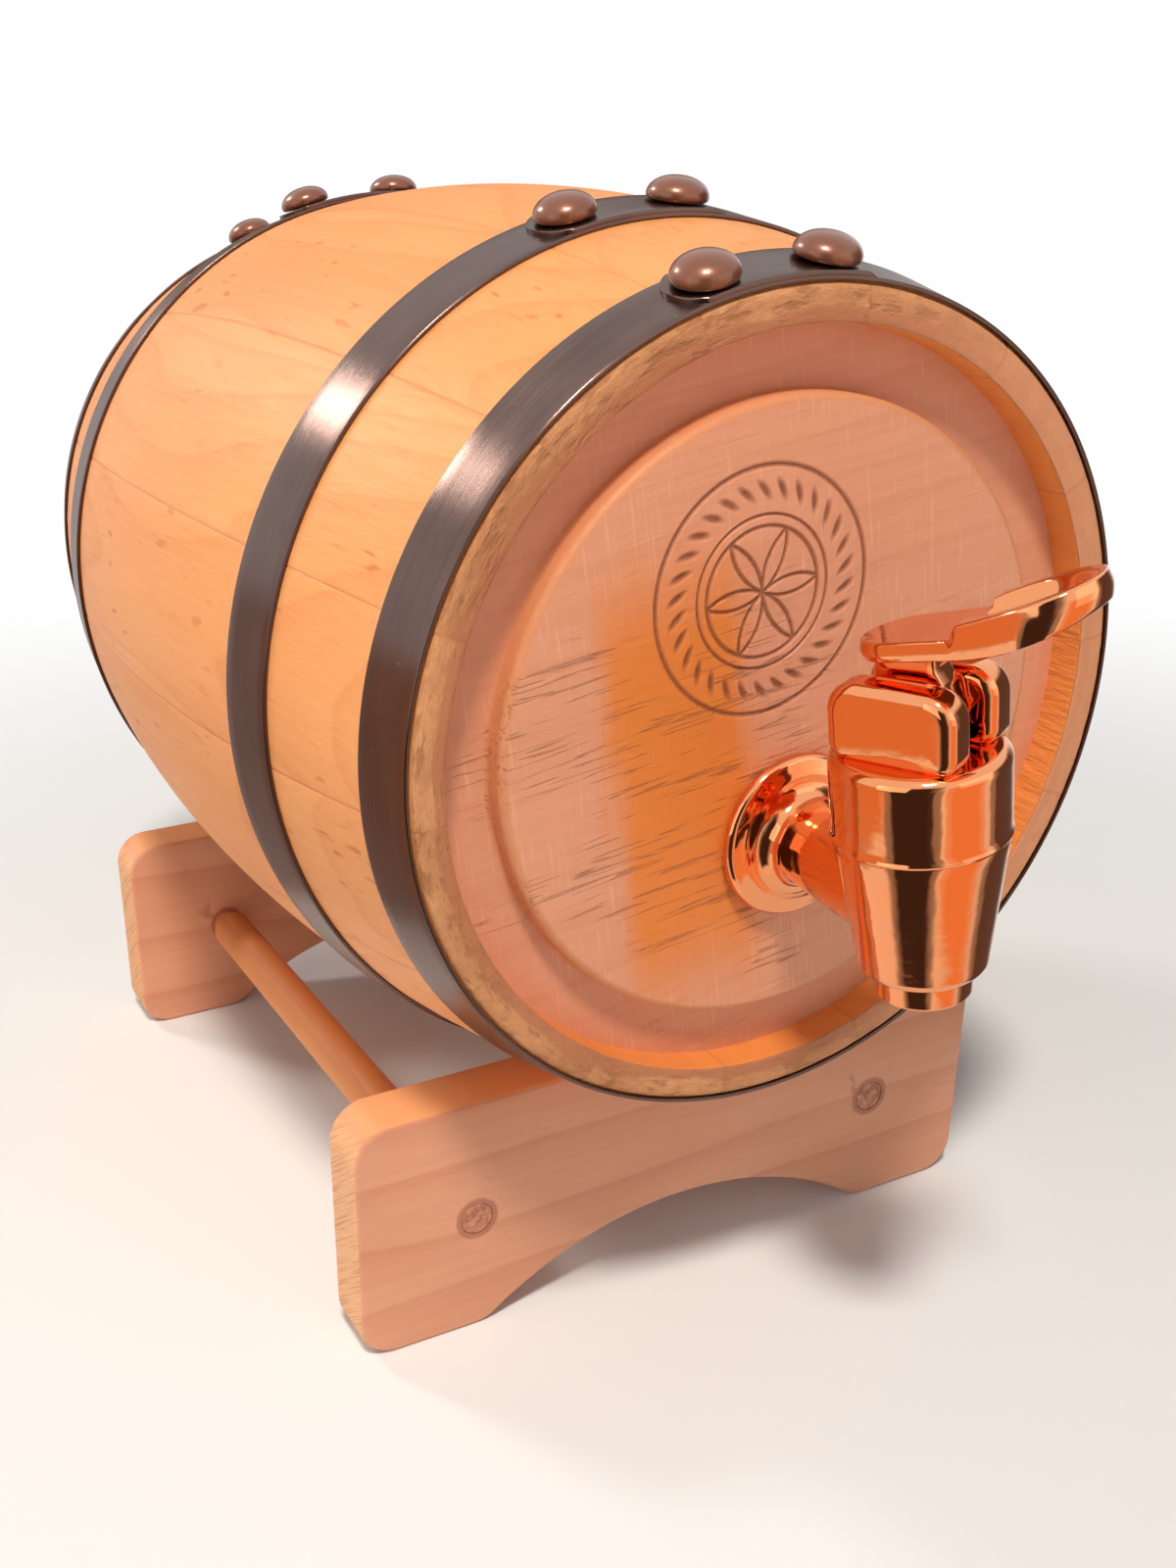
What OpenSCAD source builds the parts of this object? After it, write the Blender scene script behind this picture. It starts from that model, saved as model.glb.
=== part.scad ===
// Oak cask liquor dispenser: a coopered cask on a two-plate cradle, with a lever tap.
// +Z is up and the tap faces -Y. Z = 0 is the surface that the cradle stands on.
// The cask, its tap and its bung are drawn in a frame of their own, with the origin on the
// cask's axis in the plane of the front chime and +Y towards the rear, and then placed.

/* [Cask] */
// Length over both chimes
cask_length = 223; // [180:1:260]
// Outer diameter of the staves at mid length
bilge_d = 176.6; // [165:0.1:190]
// Outer diameter of the staves at either end
end_d = 148.4; // [140:0.1:156]
// Number of staves
stave_count = 14; // [12:1:18]
// Stave thickness at mid length
stave_wall = 9.3; // [7:0.1:12]
// Stave thickness at the chime
chime_wall = 6.2; // [5:0.1:8]
// Chamfer on the outer arris of each chime
chime_arris = 1.5; // [0.5:0.1:2.5]
// Angle by which the cask lies rolled in its cradle, anticlockwise from the front
cask_roll = 8.2; // [-30:0.1:30]
// Angle from the top of the cask to the middle of the hoop laps and of the first stave
seam_angle = 3.5; // [0:0.1:8]

/* [Heads] */
// Depth from the chime to the outer face of a head's rim
head_setback = 7.1; // [5:0.1:10]
// Thickness of a head at its rim
head_t = 10; // [8:0.1:14]
// Depth of the groove that holds a head
croze_depth = 3; // [2:0.1:4]
// Diameter of the raised centre panel of the front head
panel_d = 114; // [100:0.5:125]
// Height of the raised panel over the rim
panel_rise = 5; // [3:0.1:6]
// Chamfer round the raised panel
panel_chamfer = 1.6; // [0.5:0.1:2.5]
// Height of the bung hole over the cask's axis
bung_up = 36; // [30:0.5:42]
// Diameter of the bung where it enters the rear head
bung_d = 22; // [18:0.5:26]
// Loss of diameter along the bung's tapered part
bung_taper = 1.6; // [0.8:0.1:2.4]
// Diameter of the bung's grip
bung_grip_d = 27; // [27:0.5:32]
// Height of the bung's grip
bung_grip_h = 6; // [4:0.1:6.5]
// Chamfer on the bung's grip
bung_chamfer = 1.5; // [0.5:0.1:2.5]

/* [Hoops] */
// Width of the two chime hoops
chime_hoop_w = 12.2; // [10:0.1:16]
// Distance from a chime to the near edge of its chime hoop
chime_hoop_y = 0.4; // [0.2:0.1:2]
// Width of the two bilge hoops
bilge_hoop_w = 14.4; // [10:0.1:16]
// Distance from a chime to the near edge of its bilge hoop
bilge_hoop_y = 42; // [41:0.1:50]
// Thickness of the hoop strap
strap_t = 0.8; // [0.5:0.05:1.2]
// Distance between the two rivets of a lap
rivet_gap = 23; // [18:0.5:26]
// Length of the lap beyond each rivet
lap_over = 6.8; // [6.2:0.1:9]
// Amount by which the radius of a strap's rounded free end exceeds half its width
end_ease = 0.6; // [0.3:0.1:2]
// Amount by which a lap's outer layer is narrower than the inner one at each edge
lap_inset = 0.1; // [0.05:0.05:0.5]
// Diameter of a rivet's domed head
rivet_d = 11.6; // [8:0.1:12]
// Height of a rivet's domed head
rivet_h = 4.4; // [2.5:0.1:5]
// Diameter of a rivet's shank
rivet_shank_d = 3; // [2:0.1:4]
// Depth of a rivet's shank under its head
rivet_shank_h = 5; // [3:0.1:6]

/* [Stand] */
// Height of the cask's axis over the table
axis_h = 132.8; // [130:0.1:140]
// Width of a cradle plate
cradle_w = 154; // [135:0.5:170]
// Height of a cradle plate
cradle_h = 54.4; // [52:0.1:70]
// Thickness of a cradle plate
cradle_t = 13.2; // [10:0.1:15]
// Distance from a chime to the outer face of its cradle plate
cradle_inset = 26.3; // [20:0.1:27]
// Radius of a plate's outer corners
cradle_corner_r = 8; // [4:0.5:12]
// Radius of the arch under a plate
arch_r = 79; // [70:0.5:100]
// Height of the arch over the table
arch_rise = 16.5; // [10:0.1:17]
// Radius of the corner between a foot and the arch
foot_corner_r = 8; // [4:0.5:10]
// Distance from the middle to a stretcher's axis
stretcher_x = 50.4; // [45:0.1:56]
// Height of a stretcher's axis over the table
stretcher_z = 26.9; // [24:0.1:32]
// Diameter of a stretcher
stretcher_d = 10.4; // [9:0.1:13]
// Diameter of a stretcher's tenons
tenon_d = 7.2; // [5:0.1:8]
// Length of tenon that shows between a stretcher's shoulder and its plate
tenon_neck = 1.8; // [0.5:0.1:4]

/* [Tap] */
// Distance from the cask's axis down to the tap's shank
tap_drop = 21.8; // [18:0.1:24]
// Distance from the front panel to the axis of the tap's body
tap_reach = 35.4; // [32:0.1:42]
// Diameter of the flange
flange_d = 31.4; // [28:0.1:36]
// Thickness of the flange at its rim
flange_t = 2.8; // [2:0.1:4]
// Radius of the fillet between the flange and the neck
flange_fillet = 3.6; // [1:0.1:5]
// Height of the low cone on the flange's face
flange_cone_h = 0.6; // [0.2:0.1:1]
// Width of the low cone on the flange's face
flange_cone_w = 1.2; // [0.5:0.1:2]
// Diameter of the neck next to the flange
neck_d = 15.6; // [14:0.1:17]
// Diameter of the neck where it enters the body
neck_root_d = 18.4; // [17.5:0.1:20]
// Diameter of the tail that passes the head
tail_d = 16; // [14:0.1:17]
// Length of the tail behind the flange
tail_len = 30; // [28:0.5:40]
// Diameter of the passage through the tail and the neck
passage_d = 8; // [6:0.1:8.4]
// Diameter of the body at its rim
body_top_d = 28.2; // [27:0.1:30]
// Height of the body's rim over the shank's axis
body_up = 13.9; // [13:0.1:18]
// Diameter of the body at the foot of its taper
body_foot_d = 21.6; // [20:0.1:24]
// Depth of the foot of the taper under the shank's axis
body_down = 9.5; // [8:0.1:12]
// Diameter of the spout at its root
spout_d = 17.4; // [15:0.1:18]
// Diameter of the spout at its mouth
spout_tip_d = 16.2; // [14:0.1:17]
// Depth of the spout's mouth under the shank's axis
spout_down = 16.4; // [14.5:0.1:20]
// Radius of the spout's lower edge
spout_round = 0.6; // [0.2:0.1:1]
// Diameter of the outlet in the spout
outlet_d = 10; // [8:0.1:11]
// Diameter of the valve chamber
chamber_d = 18; // [16:0.1:18.4]
// Width of the ledge that carries the bonnet's spigot
socket_ledge = 1.7; // [1:0.1:2]
// Length of the bonnet's spigot
socket_h = 6.9; // [5:0.1:7.5]
// Wall of the body's rim outside the gasket
rim_wall = 0.8; // [0.5:0.1:1]
// Depth of the valve seat under the shank's axis
seat_down = 5.5; // [5:0.1:7]
// Diameter of the bonnet
bonnet_d = 28.8; // [27:0.1:30]
// Height of the bonnet over the body's rim
bonnet_h = 15; // [14:0.1:18]
// Radius of the bonnet's top edge
bonnet_round = 2; // [1:0.1:3]
// Thickness of the bonnet's roof
roof_t = 4.9; // [4:0.1:6]
// Chamfer on the bonnet's lower edge
bonnet_arris = 0.5; // [0.2:0.1:1]
// Angle by which the bonnet and its lever are turned from straight ahead
bonnet_turn = 20; // [-45:1:45]
// Distance between the two ears
ear_gap = 5.8; // [5.4:0.1:7]
// Thickness of an ear
ear_t = 7; // [5:0.1:7.5]
// Length of an ear
ear_len = 22; // [20:0.1:23]
// Height of an ear over the bonnet
ear_h = 12.8; // [12:0.1:13.2]
// Radius of an ear's corners
ear_round = 5; // [3:0.1:6]
// Radius of an ear's corners seen from above and from the front
ear_edge = 2.4; // [1:0.1:3]

/* [Lever] */
// Thickness of the lever's blade
blade_t = 5.2; // [4.8:0.1:5.2]
// Length of the blade behind the stem
blade_back = 6; // [4:0.1:7]
// Distance of the pivot ahead of the stem
pivot_ahead = 4.5; // [4.3:0.1:5]
// Height of the pivot over the bonnet
pivot_up = 6.5; // [6.3:0.1:7]
// Diameter of the pivot pin
pin_d = 2.5; // [2:0.1:2.6]
// Wall of the left ear that the pin's hole leaves standing
pin_skin = 1.6; // [1:0.1:2.5]
// Wall of the lever round the pin's bore
boss_wall = 0.95; // [0.8:0.05:1.2]
// Depth of the fork's top face under the pivot
fork_drop = 3.9; // [3.6:0.1:4.2]
// Thickness of the fork
fork_t = 1.3; // [1:0.1:1.6]
// Width of the paddle at its front
paddle_w = 18.5; // [14:0.1:22]
// Width of the paddle at its back
paddle_back_w = 14; // [10:0.1:18]
// Length of the paddle ahead of the stem
paddle_front = 30; // [26:0.5:40]
// Length of the paddle behind the stem
paddle_back = 9; // [8:0.1:10]
// Thickness of the paddle
paddle_t = 3.2; // [2.5:0.1:4]
// Height of the paddle's top over the bonnet, above the stem
paddle_up = 19.7; // [19:0.1:24]
// Angle at which the paddle rises to the front
paddle_tilt = 12; // [8:0.5:16]
// Distance from the stem to the back of the thumb scoop
scoop_start = 10; // [9:0.1:12]
// Height of the scoop's rim over the paddle at its back
scoop_step = 2; // [1:0.1:3]
// Angle at which the scoop's rim rises over the paddle
scoop_tilt = 10; // [5:0.5:14]
// Depth of the scoop's dish
dish_depth = 3.6; // [2:0.1:4]
// Radius of the scoop's dish
dish_r = 12; // [11.5:0.1:16]
// Height of the scoop's rim wall at the tip
scoop_wall = 4.3; // [3:0.1:6]

/* [Valve] */
// Diameter of the stem
stem_d = 4; // [3.6:0.1:4.2]
// Diameter of the stem in its groove
groove_d = 2.2; // [1.8:0.1:2.4]
// Height of the stem's head over the groove
stem_head_t = 1.6; // [1.2:0.1:2]
// Length of the groove under the fork
groove_spare = 2.7; // [2.6:0.1:4]
// Height of the knob that holds the plug on the stem
knob_h = 1.5; // [1:0.1:2]
// Diameter of the knob that holds the plug on the stem
knob_d = 6; // [5:0.1:7]
// Thickness of the plug under the knob
knob_floor = 1.2; // [1:0.1:1.6]
// Diameter of the valve plug
plug_d = 14; // [12:0.1:15]
// Thickness of the valve plug
plug_t = 4; // [3.6:0.1:5]
// Length of the plug's nose in the outlet
nose_h = 2.5; // [1:0.1:3]
// Diameter of the plug's nose next to the seat
nose_d = 8.8; // [7:0.1:9.2]
// Wire diameter of the valve spring
wire_d = 0.9; // [0.6:0.05:1.1]
// Mean diameter of the valve spring
spring_d = 7.2; // [6.6:0.1:8]
// Number of turns of the valve spring
spring_turns = 7; // [5:1:8]
// Height of the stem guide inside the bonnet
guide_h = 7; // [6:0.1:8]
// Diameter of the stem seal
seal_d = 7; // [6.4:0.1:7.4]
// Height of the stem seal
seal_h = 2; // [1.6:0.1:2.4]
// Distance from the guide's foot to the top of the stem seal
seal_up = 4.5; // [4:0.1:6]
// Wall of the guide round the stem seal
guide_wall = 1.5; // [1:0.1:2]
// Gap between the bonnet's spigot and its bore for the valve
spigot_step = 0.6; // [0.4:0.1:1]

/* [Fittings] */
// Diameter of the two tap washers
washer_d = 25; // [23:0.5:27]
// Thickness of the washer between the flange and the panel
outer_washer_t = 1.5; // [1:0.1:2]
// Thickness of the washer between the head and the nut
inner_washer_t = 2; // [1:0.1:3]
// Width of the lock nut across its flats
nut_af = 24; // [22:0.5:27]
// Height of the lock nut
nut_h = 6; // [4:0.5:8]
// Thickness of the gasket between bonnet and body
gasket_t = 0.8; // [0.5:0.1:1.2]

/* [Clearances] */
// Gap between the staves and the saddles
saddle_gap = 0.3; // [0.1:0.05:0.5]
// Gap between the staves and the hoops
hoop_gap = 0.08; // [0.06:0.01:0.2]
// Radial gap of joints that stay still
seat_gap = 0.03; // [0.01:0.01:0.1]
// Radial gap of parts that turn or slide
running_gap = 0.05; // [0.02:0.01:0.1]
// Radial gap round the tap's tail
tail_gap = 0.3; // [0.1:0.05:0.5]
// Gap between the flange's rim and the panel
rim_gap = 0.3; // [0.1:0.05:0.5]
// Gap between the fork and the stem's head
fork_gap = 0.1; // [0.05:0.05:0.3]
// Width by which the fork's slot clears the groove
fork_play = 0.3; // [0.2:0.05:0.6]

/* [Hidden] */
STAVE_NAMES = [for (i = [1:stave_count]) str("stave_", i)];

$fn = 96;
wood = "burlywood";
pale_wood = "wheat";
steel = "dimgray";
brown = "saddlebrown";
copper = "chocolate";
rubber = "whitesmoke";

// Stave arcs: each is a circle through the two ends and the middle
mid_y = cask_length / 2;
bulge = (bilge_d - end_d) / 2;
bulge_r = (mid_y * mid_y + bulge * bulge) / (2 * bulge);
recess_r = end_d / 2 - chime_wall;
head_r = recess_r + croze_depth;
head_back_y = head_setback + head_t;
inner_bulge = bilge_d / 2 - stave_wall - recess_r;
inner_half = mid_y - head_back_y;
inner_r = (inner_half * inner_half + inner_bulge * inner_bulge) / (2 * inner_bulge);
stave_angle = 360 / stave_count;
arc_steps = 24;
panel_y = head_setback - panel_rise;

function stave_r(y) = bilge_d / 2 - bulge_r + sqrt(bulge_r * bulge_r - pow(y - mid_y, 2));
function stave_slope(y) = asin((mid_y - y) / bulge_r);
function bore_r(y) = recess_r + inner_bulge - inner_r + sqrt(inner_r * inner_r - pow(y - mid_y, 2));

// Rivets and laps
chime_rivet_y = chime_hoop_y + chime_hoop_w / 2;
bilge_rivet_y = bilge_hoop_y + bilge_hoop_w / 2;
rivet_ys = [
    chime_rivet_y,
    bilge_rivet_y,
    cask_length - bilge_rivet_y,
    cask_length - chime_rivet_y
];
dome_r = (rivet_d * rivet_d / 4 + rivet_h * rivet_h) / (2 * rivet_h);

// Stand
saddle_r = stave_r(cradle_inset + cradle_t) + saddle_gap;
arch_centre_z = arch_rise - arch_r;
foot_x = sqrt(pow(arch_r + foot_corner_r, 2) - pow(foot_corner_r - arch_centre_z, 2));

// Tap heights are over the shank's axis, and tap lengths are ahead of the tap's own axis
tap_y = panel_y - tap_reach;
bonnet_top = body_up + bonnet_h;
socket_d = chamber_d + 2 * socket_ledge;
guide_foot = bonnet_top - roof_t - guide_h;
plug_foot = seat_gap - seat_down;
plug_top = plug_foot + plug_t;
knob_z = plug_foot + knob_floor;
pivot_z = bonnet_top + pivot_up;
ear_x = ear_gap / 2;

// Stem and fork heights, under the pivot
fork_top = -fork_drop;
stem_top = pivot_z + fork_top + fork_gap + stem_head_t;
groove_top = stem_top - stem_head_t;
groove_foot = groove_top - fork_t - groove_spare;
fork_slot = groove_d + fork_play;
pin_boss_r = pin_d / 2 + boss_wall;

// Paddle, in a frame on its top face above the stem, with the first axis to the front
front_r = paddle_w / 2;
back_r = paddle_back_w / 2;
front_c = paddle_front - front_r;
back_c = back_r - paddle_back;
taper_a = asin((front_r - back_r) / (front_c - back_c));
lever_tip_z = scoop_step + (paddle_front - scoop_start) * tan(scoop_tilt);
tip_rise = lever_tip_z - scoop_wall;

// The model is centred between the paddle's tip and the rear chime
tip_reach = front_c * cos(paddle_tilt) * cos(bonnet_turn)
    + front_r * norm([cos(paddle_tilt) * cos(bonnet_turn), sin(bonnet_turn)])
    - tip_rise * sin(paddle_tilt) * cos(bonnet_turn);
front_y = tap_y - tip_reach;
centre_y = (front_y + cask_length) / 2;

// Valve spring
spring_foot = plug_top + running_gap + wire_d / 2;
spring_top = guide_foot - running_gap - wire_d / 2;
spring_pitch = (spring_top - spring_foot) / spring_turns;
curl_rings = 8;
wire_sides = 6;
echo(str("Least gap between turns of the valve spring: ", spring_pitch - wire_d, " mm"));

// ---------------------------------------------------------------- placing

module in_cask() {
    translate([0, -centre_y, axis_h]) rotate([0, -cask_roll, 0]) children();
}

module in_tap() {
    in_cask() translate([0, tap_y, -tap_drop]) children();
}

module in_bonnet() {
    in_tap() rotate([0, 0, bonnet_turn]) children();
}

module in_lever() {
    in_bonnet() translate([0, -pivot_ahead, pivot_z]) children();
}

// Turns a solid about its Z axis so that Z runs to the rear
module to_rear() {
    rotate([-90, 0, 0]) children();
}

// Extrudes an outline drawn as (ahead, up) to a thickness across X
module side_plate(t) {
    rotate([90, 0, -90]) linear_extrude(t, center = true) children();
}

// Places children on the staves' surface at a distance along the cask and an angle from the
// top, with their Z axis square to the surface and their origin lifted off it
module on_stave(y, angle, lift) {
    rotate([0, angle, 0]) translate([0, y, stave_r(y)])
        rotate([stave_slope(y), 0, 0]) translate([0, 0, lift]) children();
}

// ---------------------------------------------------------------- stand

module rounded_rect(w, h, r) {
    translate([-w / 2 + r, 0]) square([w - 2 * r, h]);
    translate([-w / 2, r]) square([w, h - 2 * r]);
    for (x = [-1, 1], z = [r, h - r])
        translate([x * (w / 2 - r), z]) circle(r);
}

// The sliver that rounds the corner between one foot and the arch
module foot_corner() {
    share = arch_r / (arch_r + foot_corner_r);
    difference() {
        polygon([
            [foot_x * share, -1],
            [foot_x * share, arch_centre_z + (foot_corner_r - arch_centre_z) * share],
            [foot_x, 0],
            [foot_x, -1]
        ]);
        translate([foot_x, foot_corner_r]) circle(foot_corner_r);
    }
}

module cradle_outline() {
    difference() {
        rounded_rect(cradle_w, cradle_h, cradle_corner_r);
        translate([0, axis_h]) circle(saddle_r, $fn = 240);
        translate([0, arch_centre_z]) circle(arch_r, $fn = 240);
        foot_corner();
        mirror([1, 0]) foot_corner();
        for (x = [-1, 1])
            translate([x * stretcher_x, stretcher_z]) circle(tenon_d / 2 + seat_gap);
    }
}

module cradle(front_face_y) {
    color(pale_wood)
        translate([0, front_face_y + cradle_t, 0])
            rotate([90, 0, 0]) linear_extrude(cradle_t) cradle_outline();
}

module front_cradle() {
    cradle(cradle_inset - centre_y);
}

module rear_cradle() {
    cradle(cask_length - cradle_inset - cradle_t - centre_y);
}

// A turned rod with round shoulders, and tenons that end flush with the plates
module stretcher(x) {
    span = cask_length - 2 * cradle_inset;
    shoulder = sqrt(pow(stretcher_d / 2, 2) - pow(tenon_d / 2, 2));
    body_start = cradle_t + tenon_neck + shoulder;
    color(wood)
        translate([x, cradle_inset - centre_y, stretcher_z]) to_rear() {
            cylinder(h = span, d = tenon_d);
            translate([0, 0, body_start])
                cylinder(h = span - 2 * body_start, d = stretcher_d);
            for (z = [body_start, span - body_start])
                translate([0, 0, z]) sphere(d = stretcher_d);
        }
}

module left_stretcher() {
    stretcher(-stretcher_x);
}

module right_stretcher() {
    stretcher(stretcher_x);
}

// ---------------------------------------------------------------- staves and heads

function outer_arc() = [
    for (i = [0:arc_steps])
        let (y = chime_arris + (cask_length - 2 * chime_arris) * i / arc_steps)
        [stave_r(y), y]
];

function inner_arc() = [
    for (i = [0:arc_steps])
        let (y = cask_length - head_back_y - 2 * inner_half * i / arc_steps)
        [bore_r(y), y]
];

// One half of the croze, as (radius, distance from the chime)
croze = [
    [recess_r, 0],
    [recess_r, head_setback],
    [head_r, head_setback],
    [head_r, head_back_y]
];

module stave_profile() {
    polygon(concat(
        [[end_d / 2 - chime_arris, 0]],
        outer_arc(),
        [[end_d / 2 - chime_arris, cask_length]],
        [for (p = croze) [p[0], cask_length - p[1]]],
        inner_arc(),
        [for (i = [3:-1:0]) croze[i]]
    ));
}

// Holes for both rivets of the lap at a distance along the cask
module rivet_holes(y) {
    rivet_pair(y) translate([0, 0, -rivet_shank_h - 1])
        cylinder(h = rivet_shank_h + 4, d = rivet_shank_d + 2 * seat_gap);
}

// Places children at both rivets of one lap, on the outer strap
module rivet_pair(y) {
    half_a = rivet_gap / 2 / stave_r(y) * 180 / PI;
    for (side = [-1, 1])
        on_stave(y, seam_angle + side * half_a, hoop_gap + 2 * strap_t) children();
}

// Staves are numbered clockwise from the one under the laps
module stave(i) {
    start = seam_angle + (i - 0.5) * stave_angle;
    color(i % 2 == 0 ? wood : "navajowhite")
        in_cask() difference() {
            strap_turn(start, stave_angle) stave_profile();
            if (i == 1)
                for (y = rivet_ys)
                    rivet_holes(y);
        }
}

module front_head() {
    color(wood)
        in_cask() difference() {
            to_rear() {
                translate([0, 0, head_setback])
                    cylinder(h = head_t, r = head_r - seat_gap, $fn = 180);
                translate([0, 0, panel_y + panel_chamfer])
                    cylinder(h = panel_rise, d = panel_d, $fn = 180);
                translate([0, 0, panel_y]) cylinder(
                    h = panel_chamfer,
                    d1 = panel_d - 2 * panel_chamfer,
                    d2 = panel_d,
                    $fn = 180
                );
            }
            translate([0, panel_y - 1, -tap_drop])
                to_rear() cylinder(h = panel_rise + head_t + 2, d = tail_d + 2 * tail_gap);
        }
}

module rear_head() {
    color(wood)
        in_cask() difference() {
            translate([0, cask_length - head_back_y, 0])
                to_rear() cylinder(h = head_t, r = head_r - seat_gap, $fn = 180);
            translate([0, cask_length - head_back_y, bung_up])
                to_rear() bung_taper_solid(head_t, running_gap);
        }
}

// The tapered part of the bung, or with a gap its hole, from the inner face of the head
module bung_taper_solid(h, gap) {
    cylinder(h = h, d1 = bung_d - bung_taper + 2 * gap, d2 = bung_d + 2 * gap);
}

module bung() {
    color("tan")
        in_cask() translate([0, cask_length - head_back_y, bung_up]) to_rear() {
            bung_taper_solid(head_t, 0);
            translate([0, 0, head_t + running_gap]) {
                cylinder(h = bung_grip_h - bung_chamfer, d = bung_grip_d);
                translate([0, 0, bung_grip_h - bung_chamfer]) cylinder(
                    h = bung_chamfer,
                    d1 = bung_grip_d,
                    d2 = bung_grip_d - 2 * bung_chamfer
                );
            }
            translate([0, 0, head_t - 1]) cylinder(h = 2, d = bung_d - bung_taper);
        }
}

// ---------------------------------------------------------------- hoops and rivets

// Section of strap between two distances along the cask and two heights over the staves, as
// (radius, distance)
module strap_section(y0, y1, foot, top) {
    polygon([
        [stave_r(y0) + foot, y0],
        [stave_r(y1) + foot, y1],
        [stave_r(y1) + top, y1],
        [stave_r(y0) + top, y0]
    ]);
}

// Section of the strap's second layer, rooted in the first
module lap_section(y0, y1) {
    strap_section(y0 + lap_inset, y1 - lap_inset, hoop_gap + strap_t / 2, hoop_gap + 2 * strap_t);
}

// A rear hoop at a distance from the rear chime: a full turn of strap, and a second layer
// over the lap with a rounded free end
module rear_hoop(y, w) {
    y0 = cask_length - y - w;
    y1 = cask_length - y;
    mid = (y0 + y1) / 2;
    r = stave_r(mid);
    lap = rivet_gap + 2 * lap_over;
    lap_a = lap / r * 180 / PI;
    end_r = w / 2 + end_ease;
    end_a = (lap / 2 - end_r) / r * 180 / PI;
    difference() {
        union() {
            strap_turn(180, 360) strap_section(y0, y1, hoop_gap, hoop_gap + strap_t);
            difference() {
                strap_turn(seam_angle + lap_a / 2, lap_a) lap_section(y0, y1);
                rotate([0, seam_angle - end_a, 0]) translate([0, mid, r - 5])
                    end_corners(w, end_r);
            }
        }
        rivet_holes(mid);
    }
}

// What is cut off a strap to round its end, from the centre of the round
module end_corners(w, end_r) {
    difference() {
        translate([-end_r - 2, -w / 2 - 1, 0]) cube([end_r + 2, w + 2, 15]);
        translate([0, 0, -1]) cylinder(h = 17, r = end_r);
    }
}

// Revolves a section from an angle clockwise of the top, anticlockwise through another
module strap_turn(from, angle) {
    rotate([90, 0, 0]) mirror([0, 0, 1]) rotate([0, 0, 90 - from])
        rotate_extrude(angle = angle, $fn = 180) children();
}

// Puts a copy of what lies at the rear end at the front end
module at_front() {
    translate([0, cask_length, 0]) mirror([0, 1, 0]) children();
}

module front_chime_hoop() {
    color(steel) in_cask() at_front() rear_hoop(chime_hoop_y, chime_hoop_w);
}

module front_bilge_hoop() {
    color(steel) in_cask() at_front() rear_hoop(bilge_hoop_y, bilge_hoop_w);
}

module rear_bilge_hoop() {
    color(steel) in_cask() rear_hoop(bilge_hoop_y, bilge_hoop_w);
}

module rear_chime_hoop() {
    color(steel) in_cask() rear_hoop(chime_hoop_y, chime_hoop_w);
}

// A domed head on a plain shank, with its origin under the head
module rivet() {
    intersection() {
        translate([0, 0, rivet_h - dome_r]) sphere(dome_r);
        translate([0, 0, seat_gap]) cylinder(h = rivet_h, d = rivet_d);
    }
    translate([0, 0, -rivet_shank_h]) cylinder(h = rivet_shank_h + 1, d = rivet_shank_d);
}

module rivets(n) {
    color(brown) in_cask() rivet_pair(rivet_ys[n]) rivet();
}

// ---------------------------------------------------------------- tap

// Quarter arc from one angle to another, as points round a centre
function arc(c, r, a0, a1, steps = 8) = [
    for (i = [0:steps]) let (a = a0 + (a1 - a0) * i / steps) [c[0] + r * cos(a), c[1] + r * sin(a)]
];

// Outside of the tap's body, as (radius, height over the shank's axis)
module body_profile() {
    foot_r = (body_foot_d - spout_d) / 2;
    tip_c = [spout_tip_d / 2 - spout_round, -spout_down + spout_round];
    polygon(concat(
        [[0, -spout_down]],
        arc(tip_c, spout_round, -90, 0, 4),
        [[spout_d / 2, -body_down - foot_r]],
        arc([spout_d / 2, -body_down], foot_r, -90, 0, 6),
        [[body_top_d / 2, body_up], [0, body_up]]
    ));
}

// Outside of the flange and its fillet, as (radius, distance behind the panel's face)
module flange_profile() {
    rim = flange_t / 2;
    back = -rim_gap;
    face = back - flange_t - flange_cone_h;
    fillet_c = [neck_d / 2 + flange_fillet, face - flange_fillet];
    polygon(concat(
        [[0, back]],
        arc([flange_d / 2 - rim, back - rim], rim, 90, -90, 8),
        [[fillet_c[0] + flange_cone_w, face]],
        arc(fillet_c, flange_fillet, 90, 180, 6),
        [[0, fillet_c[1]]]
    ));
}

module tap_body() {
    neck_len = tap_reach - rim_gap - flange_t;
    neck_grow = (neck_root_d - neck_d) / (neck_len - body_top_d / 2);
    color(copper)
        in_tap() difference() {
            union() {
                rotate_extrude() body_profile();
                translate([0, tap_reach, 0]) to_rear() rotate_extrude() flange_profile();
                to_rear() cylinder(h = neck_len, d1 = neck_d + neck_grow * neck_len, d2 = neck_d);
                translate([0, tap_reach - rim_gap - 1, 0])
                    to_rear() cylinder(h = tail_len + 1, d = tail_d);
            }
            translate([0, 0, -spout_down - 1]) cylinder(h = spout_down, d = outlet_d);
            translate([0, 0, -seat_down]) cylinder(h = body_up + seat_down + 1, d = chamber_d);
            translate([0, 0, body_up - socket_h]) cylinder(h = socket_h + 1, d = socket_d);
            translate([0, 0, body_up - gasket_t])
                cylinder(h = gasket_t + 1, d = body_top_d - 2 * rim_wall);
            to_rear() cylinder(h = tap_reach + tail_len + 1, d = passage_d);
            translate([0, tap_reach - outer_washer_t, 0]) to_rear() difference() {
                cylinder(h = outer_washer_t + 1, d = washer_d + 2 * seat_gap);
                translate([0, 0, -1]) cylinder(h = outer_washer_t + 3, d = tail_d);
            }
        }
}

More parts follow.
